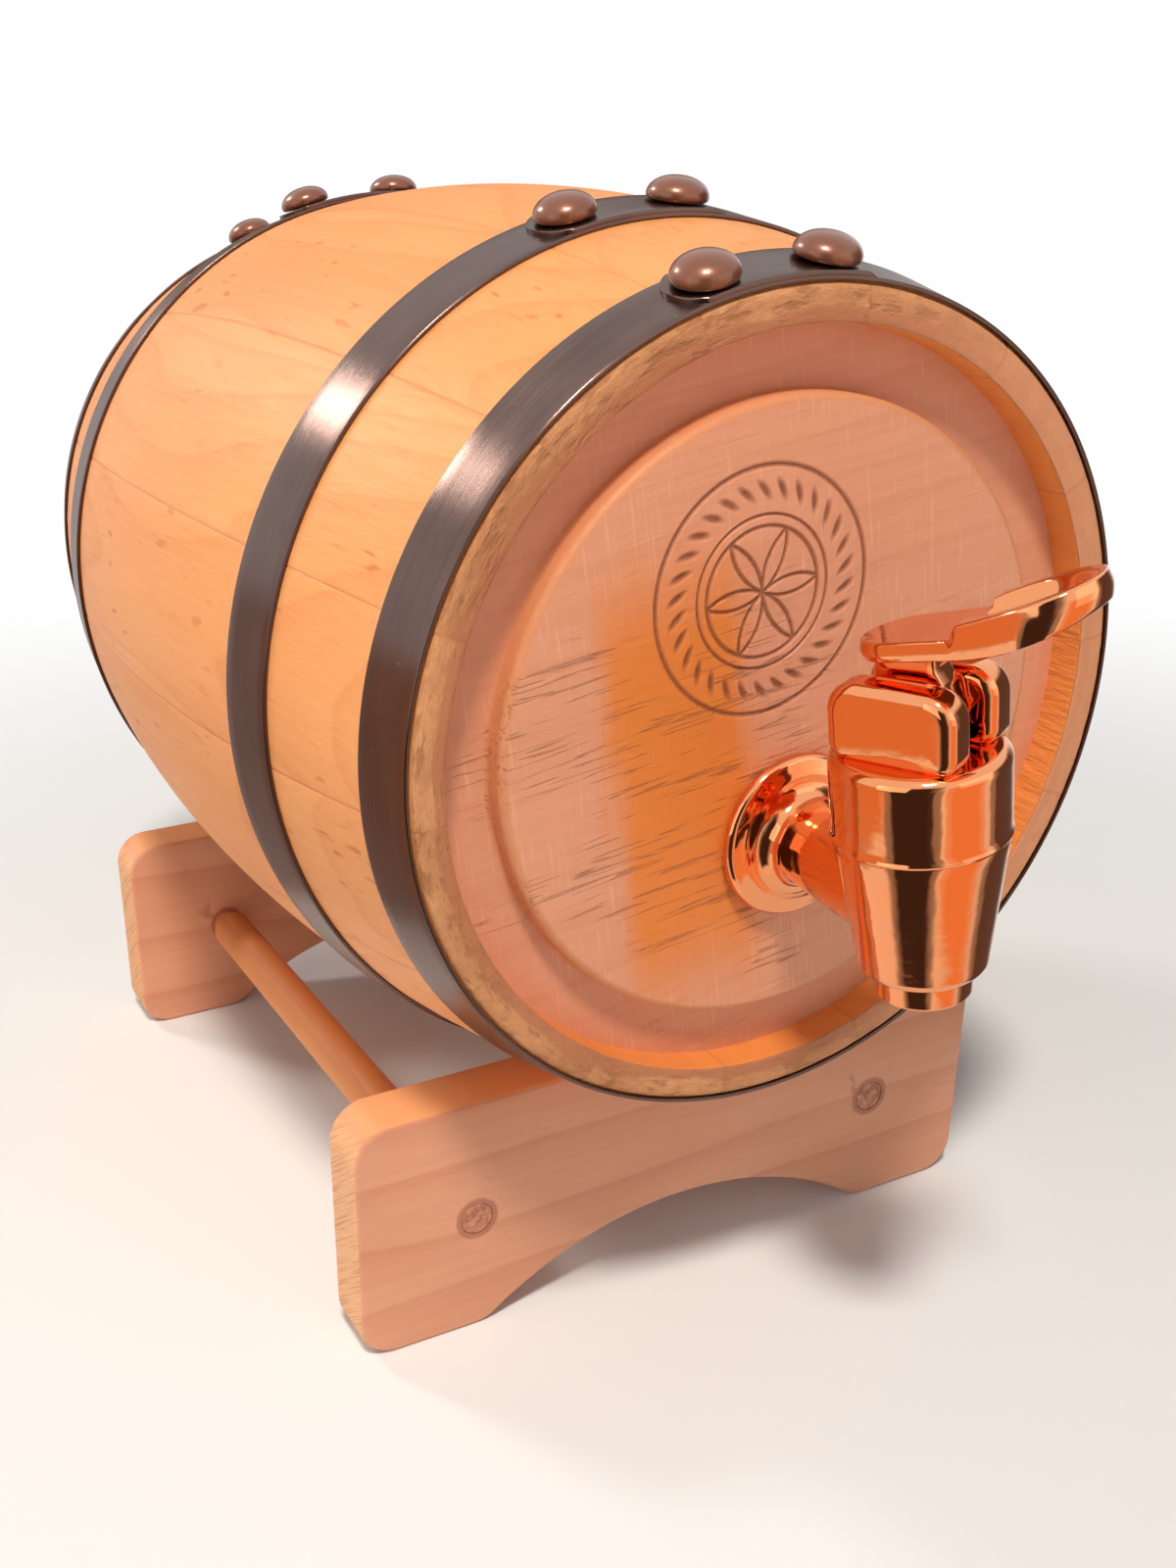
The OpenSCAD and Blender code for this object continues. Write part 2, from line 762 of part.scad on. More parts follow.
// Section of the bonnet, as (radius, height over the shank's axis)
module bonnet_profile() {
    spigot_foot = body_up - socket_h + seat_gap;
    cavity_r = chamber_d / 2 - spigot_step;
    guide_r = seal_d / 2 + guide_wall;
    bore_radius = stem_d / 2 + running_gap;
    seal_top = guide_foot + seal_up;
    polygon(concat(
        [
            [cavity_r, spigot_foot],
            [socket_d / 2 - seat_gap, spigot_foot],
            [socket_d / 2 - seat_gap, body_up],
            [bonnet_d / 2 - bonnet_arris, body_up],
            [bonnet_d / 2, body_up + bonnet_arris]
        ],
        arc([bonnet_d / 2 - bonnet_round, bonnet_top - bonnet_round], bonnet_round, 0, 90, 6),
        [
            [bore_radius, bonnet_top],
            [bore_radius, seal_top],
            [seal_d / 2, seal_top],
            [seal_d / 2, seal_top - seal_h],
            [bore_radius, seal_top - seal_h],
            [bore_radius, guide_foot],
            [guide_r, guide_foot],
            [guide_r, bonnet_top - roof_t],
            [cavity_r, bonnet_top - roof_t]
        ]
    ));
}

// One ear: a block with round corners seen from the side, from above and from the front
module ear() {
    mid_x = ear_x + ear_t / 2;
    wide = ear_t + 2 * ear_edge;
    intersection() {
        translate([mid_x, 0, bonnet_top - 1]) side_plate(ear_t)
            translate([0, -ear_round]) rounded_rect(ear_len, ear_h + 1 + ear_round, ear_round);
        translate([mid_x - ear_edge, 0, bonnet_top - 1]) linear_extrude(ear_h + 2)
            translate([0, -ear_len / 2]) rounded_rect(wide, ear_len, ear_edge);
        translate([0, ear_len, 0]) rotate([90, 0, 0]) linear_extrude(2 * ear_len)
            translate([mid_x - ear_edge, bonnet_top - ear_edge - 1])
                rounded_rect(wide, ear_h + ear_edge + 1, ear_edge);
    }
}

module tap_bonnet() {
    color(copper)
        in_bonnet() difference() {
            union() {
                rotate_extrude() bonnet_profile();
                ear();
                mirror([1, 0, 0]) ear();
            }
            translate([-ear_x - ear_t + pin_skin, -pivot_ahead, pivot_z]) rotate([0, 90, 0])
                cylinder(h = ear_gap + 2 * ear_t, d = pin_d);
        }
}

module lever_pin() {
    color(steel)
        in_bonnet() translate([-ear_x - ear_t + pin_skin + rim_gap, -pivot_ahead, pivot_z])
            rotate([0, 90, 0])
                cylinder(h = ear_gap + 2 * ear_t - pin_skin - 2 * rim_gap, d = pin_d);
}

module bonnet_gasket() {
    color(rubber)
        in_tap() translate([0, 0, body_up - gasket_t]) difference() {
            cylinder(h = gasket_t, d = body_top_d - 2 * rim_wall - 2 * seat_gap);
            translate([0, 0, -1]) cylinder(h = gasket_t + 2, d = socket_d + 2 * seat_gap);
        }
}

module tap_washer(t) {
    to_rear() difference() {
        cylinder(h = t, d = washer_d);
        translate([0, 0, -1]) cylinder(h = t + 2, d = tail_d + 2 * seat_gap);
    }
}

module outer_washer() {
    color(rubber)
        in_tap() translate([0, tap_reach - outer_washer_t, 0]) tap_washer(outer_washer_t);
}

module inner_washer() {
    color(rubber)
        in_tap() translate([0, tap_reach + panel_rise + head_t, 0]) tap_washer(inner_washer_t);
}

module lock_nut() {
    color(rubber)
        in_tap() translate([0, tap_reach + panel_rise + head_t + inner_washer_t, 0])
            to_rear() difference() {
                cylinder(h = nut_h, d = nut_af / cos(30), $fn = 6);
                translate([0, 0, -1]) cylinder(h = nut_h + 2, d = tail_d + 2 * seat_gap);
            }
}

// ---------------------------------------------------------------- lever

// Outline of the paddle from above: two round ends and the taper between them
module paddle_outline() {
    translate([front_c, 0]) circle(front_r);
    translate([back_c, 0]) circle(back_r);
    sides = [[back_c, back_r], [front_c, front_r]];
    polygon(concat(
        [for (e = sides) [e[0] - e[1] * sin(taper_a), e[1] * cos(taper_a)]],
        [for (i = [1, 0])
            let (e = sides[i]) [e[0] - e[1] * sin(taper_a), -e[1] * cos(taper_a)]]
    ));
}

// Side of the paddle, as (ahead, up): flat at the back, with a scoop that curls up in front
module paddle_side() {
    steps = 10;
    scoop_len = paddle_front - scoop_start;
    polygon(concat(
        [[-paddle_back - 1, -paddle_t], [-paddle_back - 1, 0]],
        [[scoop_start, 0], [scoop_start, scoop_step], [paddle_front, lever_tip_z]],
        [for (i = [steps:-1:0])
            let (f = i / steps)
            [scoop_start + scoop_len * f, -paddle_t + (tip_rise + paddle_t) * f * f]]
    ));
}

module paddle() {
    rim_z = scoop_step + (front_c - 1 - scoop_start) * tan(scoop_tilt);
    difference() {
        intersection() {
            translate([0, 0, -paddle_t - 1]) linear_extrude(lever_tip_z + paddle_t + 3)
                rotate([0, 0, -90]) paddle_outline();
            side_plate(paddle_w + 2) paddle_side();
        }
        translate([0, 1 - front_c, rim_z - dish_depth + dish_r]) sphere(dish_r);
    }
}

// Side of the blade with its fork, as (ahead, up) from the pivot
module blade_side() {
    back = -pivot_ahead - blade_back;
    under = paddle_up - pivot_up - 1;
    fork_foot = fork_top - fork_t;
    fork_reach = pivot_ahead + groove_d + fork_play / 2;
    difference() {
        union() {
            polygon([
                [back, under + back * tan(paddle_tilt)],
                [back, 1.6],
                [-pin_boss_r, 0.9],
                [-pin_boss_r, fork_foot],
                [1.6, fork_foot],
                [2.6, 0],
                [1.2, 5],
                [-0.3, ear_h - pivot_up + 1],
                [-0.3, under]
            ]);
            circle(pin_boss_r + 0.4);
            translate([-fork_reach - 0.75, fork_foot]) square([fork_reach + 1.55, fork_t]);
        }
        difference() {
            translate([-pivot_ahead - 4, fork_top])
                square([pivot_ahead + 3, 0.5 - fork_top]);
            circle(pin_boss_r);
        }
    }
}

module lever() {
    color(copper)
        in_lever() difference() {
            union() {
                side_plate(blade_t) blade_side();
                translate([0, pivot_ahead, paddle_up - pivot_up])
                    rotate([-paddle_tilt, 0, 0]) paddle();
            }
            rotate([0, 90, 0])
                cylinder(h = blade_t + 2, d = pin_d + 2 * running_gap, center = true);
            translate([-fork_slot / 2, 0.9, fork_top - fork_t - 1])
                cube([fork_slot, pivot_ahead + 4, fork_t + 1.5]);
        }
}

// ---------------------------------------------------------------- valve

module valve_stem() {
    color(steel)
        in_tap() {
            translate([0, 0, knob_z]) cylinder(h = groove_foot - knob_z, d = stem_d);
            translate([0, 0, knob_z]) cylinder(h = knob_h, d = knob_d);
            translate([0, 0, groove_foot - 1])
                cylinder(h = groove_top - groove_foot + 2, d = groove_d);
            translate([0, 0, groove_top]) cylinder(h = stem_head_t, d = stem_d);
        }
}

module valve_plug() {
    color(rubber)
        in_tap() difference() {
            union() {
                translate([0, 0, plug_foot]) cylinder(h = plug_t, d = plug_d);
                translate([0, 0, plug_foot - nose_h])
                    cylinder(h = nose_h, d1 = nose_d - 2, d2 = nose_d);
            }
            translate([0, 0, knob_z]) cylinder(h = plug_t, d = stem_d);
            translate([0, 0, knob_z]) cylinder(h = knob_h, d = knob_d);
        }
}

// Ring of points round the wire at one step along the helix
function wire_ring(i) = let (
    a = 360 * i / curl_rings,
    z = spring_foot + spring_pitch * i / curl_rings,
    climb = atan(spring_pitch / (PI * spring_d))
) [
    for (j = [0:wire_sides - 1])
        let (
            b = 360 * j / wire_sides,
            out = spring_d / 2 + wire_d / 2 * cos(b),
            up = wire_d / 2 * sin(b)
        )
        [
            out * cos(a) + up * sin(climb) * sin(a),
            out * sin(a) - up * sin(climb) * cos(a),
            z + up * cos(climb)
        ]
];

module valve_spring() {
    last = spring_turns * curl_rings;
    n = wire_sides;
    color("silver")
        in_tap() polyhedron(
            points = [for (i = [0:last]) each wire_ring(i)],
            faces = concat(
                [for (j = [1:n - 2]) [0, j + 1, j]],
                [for (i = [0:last - 1], j = [0:n - 1], k = [0, 1])
                    let (a = i * n + j, b = i * n + (j + 1) % n)
                    k == 0 ? [a, b, b + n] : [a, b + n, a + n]],
                [for (j = [1:n - 2]) [last * n, last * n + j, last * n + j + 1]]
            )
        );
}

module stem_seal() {
    color(rubber)
        in_tap() translate([0, 0, guide_foot + seal_up - seal_h]) difference() {
            cylinder(h = seal_h, d = seal_d - 2 * seat_gap);
            translate([0, 0, -1]) cylinder(h = seal_h + 2, d = stem_d + 2 * running_gap);
        }
}

// ---------------------------------------------------------------- nodes

front_cradle();
rear_cradle();
left_stretcher();
right_stretcher();
for (i = [1:stave_count])
    stave(i);
front_head();
rear_head();
front_chime_hoop();
front_bilge_hoop();
rear_bilge_hoop();
rear_chime_hoop();
rivets(0);  // front_chime_rivets
rivets(1);  // front_bilge_rivets
rivets(2);  // rear_bilge_rivets
rivets(3);  // rear_chime_rivets
bung();
tap_body();
tap_bonnet();
bonnet_gasket();
lever();
lever_pin();
valve_stem();
valve_plug();
valve_spring();
stem_seal();
outer_washer();
inner_washer();
lock_nut();
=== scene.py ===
import math

import bmesh
import bpy
import numpy as np
from mathutils import Matrix, Vector
from mathutils.geometry import delaunay_2d_cdt


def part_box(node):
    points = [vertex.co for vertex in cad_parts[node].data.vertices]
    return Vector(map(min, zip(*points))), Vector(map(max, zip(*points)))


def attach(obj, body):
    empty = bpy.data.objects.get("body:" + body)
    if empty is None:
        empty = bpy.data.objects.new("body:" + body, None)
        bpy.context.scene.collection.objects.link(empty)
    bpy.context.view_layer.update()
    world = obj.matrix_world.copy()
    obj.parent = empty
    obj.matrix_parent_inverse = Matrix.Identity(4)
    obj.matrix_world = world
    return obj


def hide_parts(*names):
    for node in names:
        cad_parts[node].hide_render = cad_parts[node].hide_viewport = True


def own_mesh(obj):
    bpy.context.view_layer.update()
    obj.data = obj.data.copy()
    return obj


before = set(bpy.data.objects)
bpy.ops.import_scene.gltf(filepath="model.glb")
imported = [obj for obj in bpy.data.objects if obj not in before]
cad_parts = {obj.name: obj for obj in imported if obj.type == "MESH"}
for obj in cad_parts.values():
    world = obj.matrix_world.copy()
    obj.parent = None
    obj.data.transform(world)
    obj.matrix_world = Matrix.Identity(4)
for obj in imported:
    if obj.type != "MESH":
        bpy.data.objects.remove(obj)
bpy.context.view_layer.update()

# ---------------------------------------------------------------- staves
# Fourteen staves of pale close-grained wood, sawn to a taper, bent over steam and jointed
# edge to edge. Each is planed round outside, and its ends are cut to a rounded chime with a
# turned recess and a groove for the head.
mm = 0.001
cask_length = 223 * mm
bilge_r = 88.3 * mm
end_r = 74.2 * mm
bilge_wall = 9.3 * mm
chime_wall = 6.2 * mm
chime_round = 1.5 * mm
head_front = 7.1 * mm
head_back = 17.1 * mm
croze_r = end_r - chime_wall + 3 * mm
recess_r = end_r - chime_wall
stave_count = 14
stave_sweep = 2 * math.pi / stave_count
seam = math.radians(3.5)
roll = math.radians(8.2)
axis_h = 132.8 * mm
cask_place = Matrix.Translation((0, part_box("stave_1")[0].y, axis_h))
cask_place @= Matrix.Rotation(-roll, 4, "Y")
middle = cask_length / 2
bow = bilge_r - end_r
bow_r = (middle**2 + bow**2) / (2 * bow)


def outer_radius(y):
    """Radius of the staves' outer face at a distance along the cask."""
    return bilge_r - bow_r + np.sqrt(bow_r**2 - (y - middle) ** 2)


def arc(centre, radius, start, end, steps):
    """Points of an arc round a centre, between two angles in degrees."""
    turn = np.radians(np.linspace(start, end, steps + 1))
    return [(centre[0] + radius * math.cos(t), centre[1] + radius * math.sin(t)) for t in turn]


def stave_half():
    """Half a stave's section from mid length to mid length of the hollow side, as rows of
    radius, distance from the chime, weight of the joint's arris, and weight of cut end."""
    rows = []
    for y in np.linspace(middle, chime_round, 36):
        rows.append((float(outer_radius(y)), y, 1, 0))
    rounding = arc((end_r - chime_round, chime_round), chime_round, 0, -90, 8)
    for step, (r, y) in enumerate(rounding[1:]):
        rows.append((r, y, 1, min(0.4 * step, 1)))
    lip = 0.4 * mm
    for r in np.linspace(end_r - chime_round - 0.3 * mm, recess_r + lip, 7):
        rows.append((r, 0, 0.7, 1))
    rows.append((recess_r + 0.12 * mm, 0.12 * mm, 0.5, 1))
    for y in np.linspace(lip, head_front, 9):
        rows.append((recess_r, y, 0, 0.6))
    rows += [(croze_r, head_front, 0, 0.6), (croze_r, head_back, 0, 0.6)]
    inner_bow = bilge_r - bilge_wall - recess_r
    half = middle - head_back
    inner_r = (half**2 + inner_bow**2) / (2 * inner_bow)
    for y in np.linspace(head_back, middle, 12):
        r = recess_r + inner_bow - inner_r + math.sqrt(inner_r**2 - (y - middle) ** 2)
        rows.append((r, y, 0, 0))
    return rows


def link(name, mesh):
    """Puts a mesh into the scene as an object at the origin."""
    made = bpy.data.objects.new(name, mesh)
    bpy.context.scene.collection.objects.link(made)
    return made


def write_numbers(mesh, label, values):
    """Writes a number or a vector for each vertex, under a name."""
    values = np.array(values, float)
    kind, column = ("FLOAT_VECTOR", "vector") if values.ndim == 2 else ("FLOAT", "value")
    numbers = mesh.attributes.new(label, kind, "POINT")
    numbers.data.foreach_set(column, values.ravel())


def stave_section():
    """The whole section as a closed loop of edges that carries its numbers as attributes."""
    front = stave_half()
    rear = [(r, cask_length - y, a, c) for r, y, a, c in front[-2:0:-1]]
    rows = front + rear
    mesh = bpy.data.meshes.new("stave section")
    count = len(rows)
    spots = [(row[0], row[1], 0) for row in rows]
    mesh.from_pydata(spots, [(i, (i + 1) % count) for i in range(count)], [])
    for column, label in enumerate(("reach", "along", "arris", "cut")):
        write_numbers(mesh, label, [row[column] for row in rows])
    return link("stave section", mesh)


def add(tree, kind, inputs=None, **settings):
    """Adds a node, sets its properties, and feeds its inputs from nodes, sockets or values."""
    made = tree.nodes.new(kind)
    for name, value in settings.items():
        setattr(made, name, value)
    for key, value in (inputs or {}).items():
        if isinstance(value, bpy.types.Node):
            value = value.outputs[0]
        if isinstance(value, bpy.types.NodeSocket):
            tree.links.new(value, made.inputs[key])
        else:
            made.inputs[key].default_value = value
    return made


def calc(tree, operation, *values):
    """One step of arithmetic in a tree."""
    return add(tree, "ShaderNodeMath", dict(enumerate(values)), operation=operation).outputs[0]


def times(tree, first, second):
    """Product of two values."""
    return calc(tree, "MULTIPLY", first, second)


def plus(tree, first, second):
    """Sum of two values."""
    return calc(tree, "ADD", first, second)


def minus(tree, first, second):
    """Difference of two values."""
    return calc(tree, "SUBTRACT", first, second)


def times_plus(tree, value, factor, offset):
    """A value times a factor, plus an offset."""
    return calc(tree, "MULTIPLY_ADD", value, factor, offset)


def vector_of(tree, x=0.0, y=0.0, z=0.0):
    """Three numbers put together as a vector."""
    return add(tree, "ShaderNodeCombineXYZ", {0: x, 1: y, 2: z}).outputs[0]


def geometry_tree(name, inputs):
    """A new Geometry Nodes tree with named inputs, given as pairs of name and socket kind."""
    tree = bpy.data.node_groups.new(name, "GeometryNodeTree")
    tree.interface.new_socket(
        "Geometry", in_out="OUTPUT", socket_type="NodeSocketGeometry"
    )
    for label, kind in inputs:
        tree.interface.new_socket(label, in_out="INPUT", socket_type="NodeSocket" + kind)
    return tree, tree.nodes.new("NodeGroupInput").outputs


def named(tree, label, kind="FLOAT"):
    """Reads an attribute in a Geometry Nodes tree."""
    return add(
        tree, "GeometryNodeInputNamedAttribute", {"Name": label}, data_type=kind
    ).outputs[0]


def store(tree, geometry, label, value, kind="FLOAT"):
    """Writes an attribute in a Geometry Nodes tree."""
    return add(
        tree,
        "GeometryNodeStoreNamedAttribute",
        {"Geometry": geometry, "Name": label, "Value": value},
        data_type=kind,
        domain="POINT",
    )


def finish_tree(tree, geometry, material):
    """Ends a tree with plain geometry that carries its material."""
    real = add(tree, "GeometryNodeRealizeInstances", {"Geometry": geometry})
    dressed = add(tree, "GeometryNodeSetMaterial", {"Geometry": real, "Material": material})
    add(tree, "NodeGroupOutput", {0: dressed})


def stave_tree():
    """Sweeps the section through a stave's share of the turn, and eases its joint arrises."""
    tree, given = geometry_tree(
        "bent stave",
        [
            ("Section", "Object"),
            ("Steps", "Int"),
            ("Start", "Float"),
            ("Sweep", "Float"),
            ("Arris Depth", "Float"),
            ("Arris Width", "Float"),
            ("Chime Roughness", "Float"),
            ("Board Offset", "Vector"),
            ("Wood", "Material"),
        ],
    )
    rail = add(tree, "GeometryNodeCurvePrimitiveLine", {"End": (0, 0, 1)})
    rail = add(tree, "GeometryNodeResampleCurve", {"Curve": rail, "Count": given["Steps"]})
    part = add(tree, "GeometryNodeSplineParameter").outputs["Factor"]
    eased = calc(tree, "COSINE", times(tree, part, math.pi))
    eased = times_plus(tree, eased, -0.5, 0.5)
    rail = store(tree, rail, "part", eased)
    section = add(tree, "GeometryNodeObjectInfo", {"Object": given["Section"]})
    section = add(tree, "GeometryNodeMeshToCurve", {"Mesh": section.outputs["Geometry"]})
    swept = add(
        tree,
        "GeometryNodeCurveToMesh",
        {"Curve": rail, "Profile Curve": section, "Fill Caps": True},
    )
    part, radius, along = named(tree, "part"), named(tree, "reach"), named(tree, "along")
    arris, cut = named(tree, "arris"), named(tree, "cut")
    angle = times_plus(tree, part, given["Sweep"], given["Start"])
    edge = calc(tree, "MINIMUM", part, minus(tree, 1.0, part))
    edge = times(tree, edge, times(tree, given["Sweep"], radius))
    near = minus(tree, 1.0, calc(tree, "DIVIDE", edge, given["Arris Width"]))
    near = calc(tree, "POWER", calc(tree, "MAXIMUM", near, 0.0), 2.0)
    drop = times(tree, times(tree, near, arris), given["Arris Depth"])
    lowered = minus(tree, radius, drop)
    spot = vector_of(
        tree,
        times(tree, lowered, calc(tree, "SINE", angle)),
        along,
        times(tree, lowered, calc(tree, "COSINE", angle)),
    )
    rough = add(tree, "ShaderNodeTexNoise", {"Vector": spot, "Scale": 420.0, "Detail": 2.0})
    rough = times(tree, minus(tree, rough, 0.35), cut)
    rough = times(tree, rough, given["Chime Roughness"])
    # both ends are worn towards the middle of the cask
    way = calc(tree, "SIGN", minus(tree, middle, along))
    shift = vector_of(tree, y=times(tree, rough, way))
    shaped = add(
        tree,
        "GeometryNodeSetPosition",
        {"Geometry": swept, "Position": spot, "Offset": shift},
    )
    half = times_plus(tree, given["Sweep"], 0.5, given["Start"])
    across = times(tree, minus(tree, angle, half), radius)
    board = vector_of(tree, across, along, radius)
    board = add(
        tree,
        "ShaderNodeVectorMath",
        {0: board, 1: given["Board Offset"]},
        operation="ADD",
    )
    shaped = store(tree, shaped, "grain", board.outputs[0], "FLOAT_VECTOR")
    shaped = store(tree, shaped, "joint", near)
    finish_tree(tree, shaped, given["Wood"])
    return tree


def grow(name, tree, values):
    """Runs a tree with its inputs set by name, and returns the result as a plain object."""
    made = link(name, bpy.data.meshes.new(name))
    modifier = made.modifiers.new(tree.name, "NODES")
    modifier.node_group = tree
    for item in tree.interface.items_tree:
        if item.in_out == "INPUT" and item.name in values:
            modifier[item.identifier] = values[item.name]
    depsgraph = bpy.context.evaluated_depsgraph_get()
    mesh = bpy.data.meshes.new_from_object(made.evaluated_get(depsgraph))
    made.modifiers.clear()
    made.data = mesh
    return made


def close_up(mesh, place=None, sharp=30.0):
    """Merges doubles, turns faces outwards, shades smooth but for sharp edges, and places."""
    work = bmesh.new()
    work.from_mesh(mesh)
    bmesh.ops.remove_doubles(work, verts=work.verts, dist=1e-7)
    bmesh.ops.recalc_face_normals(work, faces=work.faces)
    if work.calc_volume(signed=True) < 0:
        bmesh.ops.reverse_faces(work, faces=work.faces)
    work.to_mesh(mesh)
    work.free()
    if place is not None:
        mesh.transform(place)
    mesh.shade_smooth()
    mesh.set_sharp_from_angle(angle=math.radians(sharp))


def shader_group(name, inputs, outputs):
    """A new shader group with named inputs, as (name, kind, value), and named outputs."""
    group = bpy.data.node_groups.new(name, "ShaderNodeTree")
    for label, kind, value in inputs:
        group.interface.new_socket(
            label, in_out="INPUT", socket_type="NodeSocket" + kind
        ).default_value = value
    for label, kind in outputs:
        group.interface.new_socket(
            label, in_out="OUTPUT", socket_type="NodeSocket" + kind
        )
    return group, group.nodes.new("NodeGroupInput").outputs


def mixed(tree, factor, first, second):
    """Mixes two colours."""
    return add(
        tree,
        "ShaderNodeMix",
        {0: factor, 6: first, 7: second},
        data_type="RGBA",
        clamp_factor=True,
    ).outputs[2]


def stretched(tree, vector, scale):
    """Scales a vector by a different number along each axis."""
    return add(
        tree, "ShaderNodeVectorMath", {0: vector, 1: scale}, operation="MULTIPLY"
    ).outputs[0]


def noise(tree, vector, scales, detail=2.0, roughness=0.5):
    """Noise over a vector, with its own scale along each axis."""
    vector = stretched(tree, vector, scales)
    return add(
        tree,
        "ShaderNodeTexNoise",
        {"Vector": vector, "Scale": 1.0, "Detail": detail, "Roughness": roughness},
    ).outputs[0]


def step_up(tree, value, low, high):
    """Smooth step of a value from 0 at one limit to 1 at the other."""
    return add(
        tree,
        "ShaderNodeMapRange",
        {0: value, 1: low, 2: high, 3: 0.0, 4: 1.0},
        interpolation_type="SMOOTHSTEP",
    ).outputs[0]


def parts_of(tree, vector):
    """The three numbers of a vector."""
    return add(tree, "ShaderNodeSeparateXYZ", {0: vector}).outputs


def flat_length(tree, x, y):
    """Length of a flat vector."""
    flat = vector_of(tree, x, y)
    return add(tree, "ShaderNodeVectorMath", {0: flat}, operation="LENGTH").outputs["Value"]


def object_place(tree):
    """Place of the shaded point in the object's space, which is the shared frame."""
    return add(tree, "ShaderNodeTexCoord").outputs["Object"]


def sawn_board():
    """Colour, roughness and height of sanded wood. Grain runs along the vector's Y axis, and
    growth rings lie round that axis."""
    tree, given = shader_group(
        "sawn board",
        [
            ("Grain", "Vector", (0, 0, 0)),
            ("Pale", "Color", (0.8, 0.5, 0.3, 1)),
            ("Dark", "Color", (0.6, 0.3, 0.15, 1)),
            ("Fleck", "Color", (0.5, 0.2, 0.08, 1)),
            ("Ring Spacing", "Float", 0.003),
            ("Ring Strength", "Float", 0.3),
            ("Streak Strength", "Float", 0.3),
            ("Fleck Strength", "Float", 0.5),
            ("Patch Strength", "Float", 0.3),
        ],
        [("Color", "Color"), ("Roughness", "Float"), ("Height", "Float")],
    )
    grain = given["Grain"]
    sway = add(
        tree,
        "ShaderNodeTexNoise",
        {"Vector": stretched(tree, grain, (22, 5, 22)), "Scale": 1.0, "Detail": 2.0},
    ).outputs[1]
    sway = add(
        tree, "ShaderNodeVectorMath", {0: sway, 1: (0.5, 0.5, 0.5)}, operation="SUBTRACT"
    )
    sway = stretched(tree, sway.outputs[0], (0.018, 0.0, 0.018))
    bent = add(tree, "ShaderNodeVectorMath", {0: grain, 1: sway}, operation="ADD").outputs[0]
    parts = parts_of(tree, bent)
    reach = flat_length(tree, parts[0], parts[2])
    ring = calc(tree, "FRACT", calc(tree, "DIVIDE", reach, given["Ring Spacing"]))
    late = calc(tree, "POWER", ring, 3.0)
    late = times(tree, late, step_up(tree, ring, 1.0, 0.93))
    streak = noise(tree, bent, (700, 14, 700), 3.0, 0.6)
    fibre = noise(tree, bent, (3200, 60, 3200), 2.0, 0.6)
    patch = noise(tree, grain, (34, 12, 34), 2.0)
    spot = noise(tree, bent, (420, 85, 420), 1.0)
    fleck = step_up(tree, spot, 0.66, 0.76)
    crowd = step_up(tree, noise(tree, grain, (30, 14, 30), 1.0), 0.4, 0.6)
    fleck = times(tree, fleck, crowd)
    tone = times(tree, late, given["Ring Strength"])
    swing = times(tree, minus(tree, streak, 0.5), given["Streak Strength"])
    tone = plus(tree, tone, swing)
    swing = times(tree, minus(tree, patch, 0.5), given["Patch Strength"])
    tone = plus(tree, plus(tree, tone, swing), 0.25)
    colour = mixed(tree, tone, given["Pale"], given["Dark"])
    colour = mixed(
        tree, times(tree, fleck, given["Fleck Strength"]), colour, given["Fleck"]
    )
    rough = times_plus(tree, streak, 0.25, 0.36)
    height = times_plus(tree, fibre, 0.5, times(tree, streak, 0.6))
    height = minus(tree, height, times(tree, fleck, 0.5))
    add(tree, "NodeGroupOutput", {0: colour, 1: rough, 2: height})
    return tree


board_group = sawn_board()


def new_material(name):
    """A material with an empty tree, and that tree."""
    material = bpy.data.materials.new(name)
    material.use_nodes = True
    material.node_tree.nodes.clear()
    return material, material.node_tree


def surface(tree, colour, roughness, normal, others=None):
    """The material's shader, fed and joined to the output."""
    inputs = {"Base Color": colour, "Roughness": roughness, "Normal": normal}
    shader = add(tree, "ShaderNodeBsdfPrincipled", inputs | (others or {}))
    add(tree, "ShaderNodeOutputMaterial", {0: shader})


def bump(tree, height, distance, strength=1.0):
    """Normal from a height, in metres at a height of 1."""
    return add(
        tree,
        "ShaderNodeBump",
        {"Height": height, "Distance": distance, "Strength": strength},
    )


def attribute(tree, label, output):
    """Reads one of the mesh's attributes in a material."""
    return add(tree, "ShaderNodeAttribute", attribute_name=label).outputs[output]


def wood_of(tree, grain, pale, dark, fleck, ring_spacing, strengths):
    """The wood group with its own colours and ring spacing, and the strengths of its rings,
    streaks, flecks and patches."""
    inputs = {"Grain": grain, "Pale": pale, "Dark": dark, "Fleck": fleck}
    inputs["Ring Spacing"] = ring_spacing
    for mark, strength in zip(("Ring", "Streak", "Fleck", "Patch"), strengths):
        inputs[f"{mark} Strength"] = strength
    return add(tree, "ShaderNodeGroup", inputs, node_tree=board_group).outputs


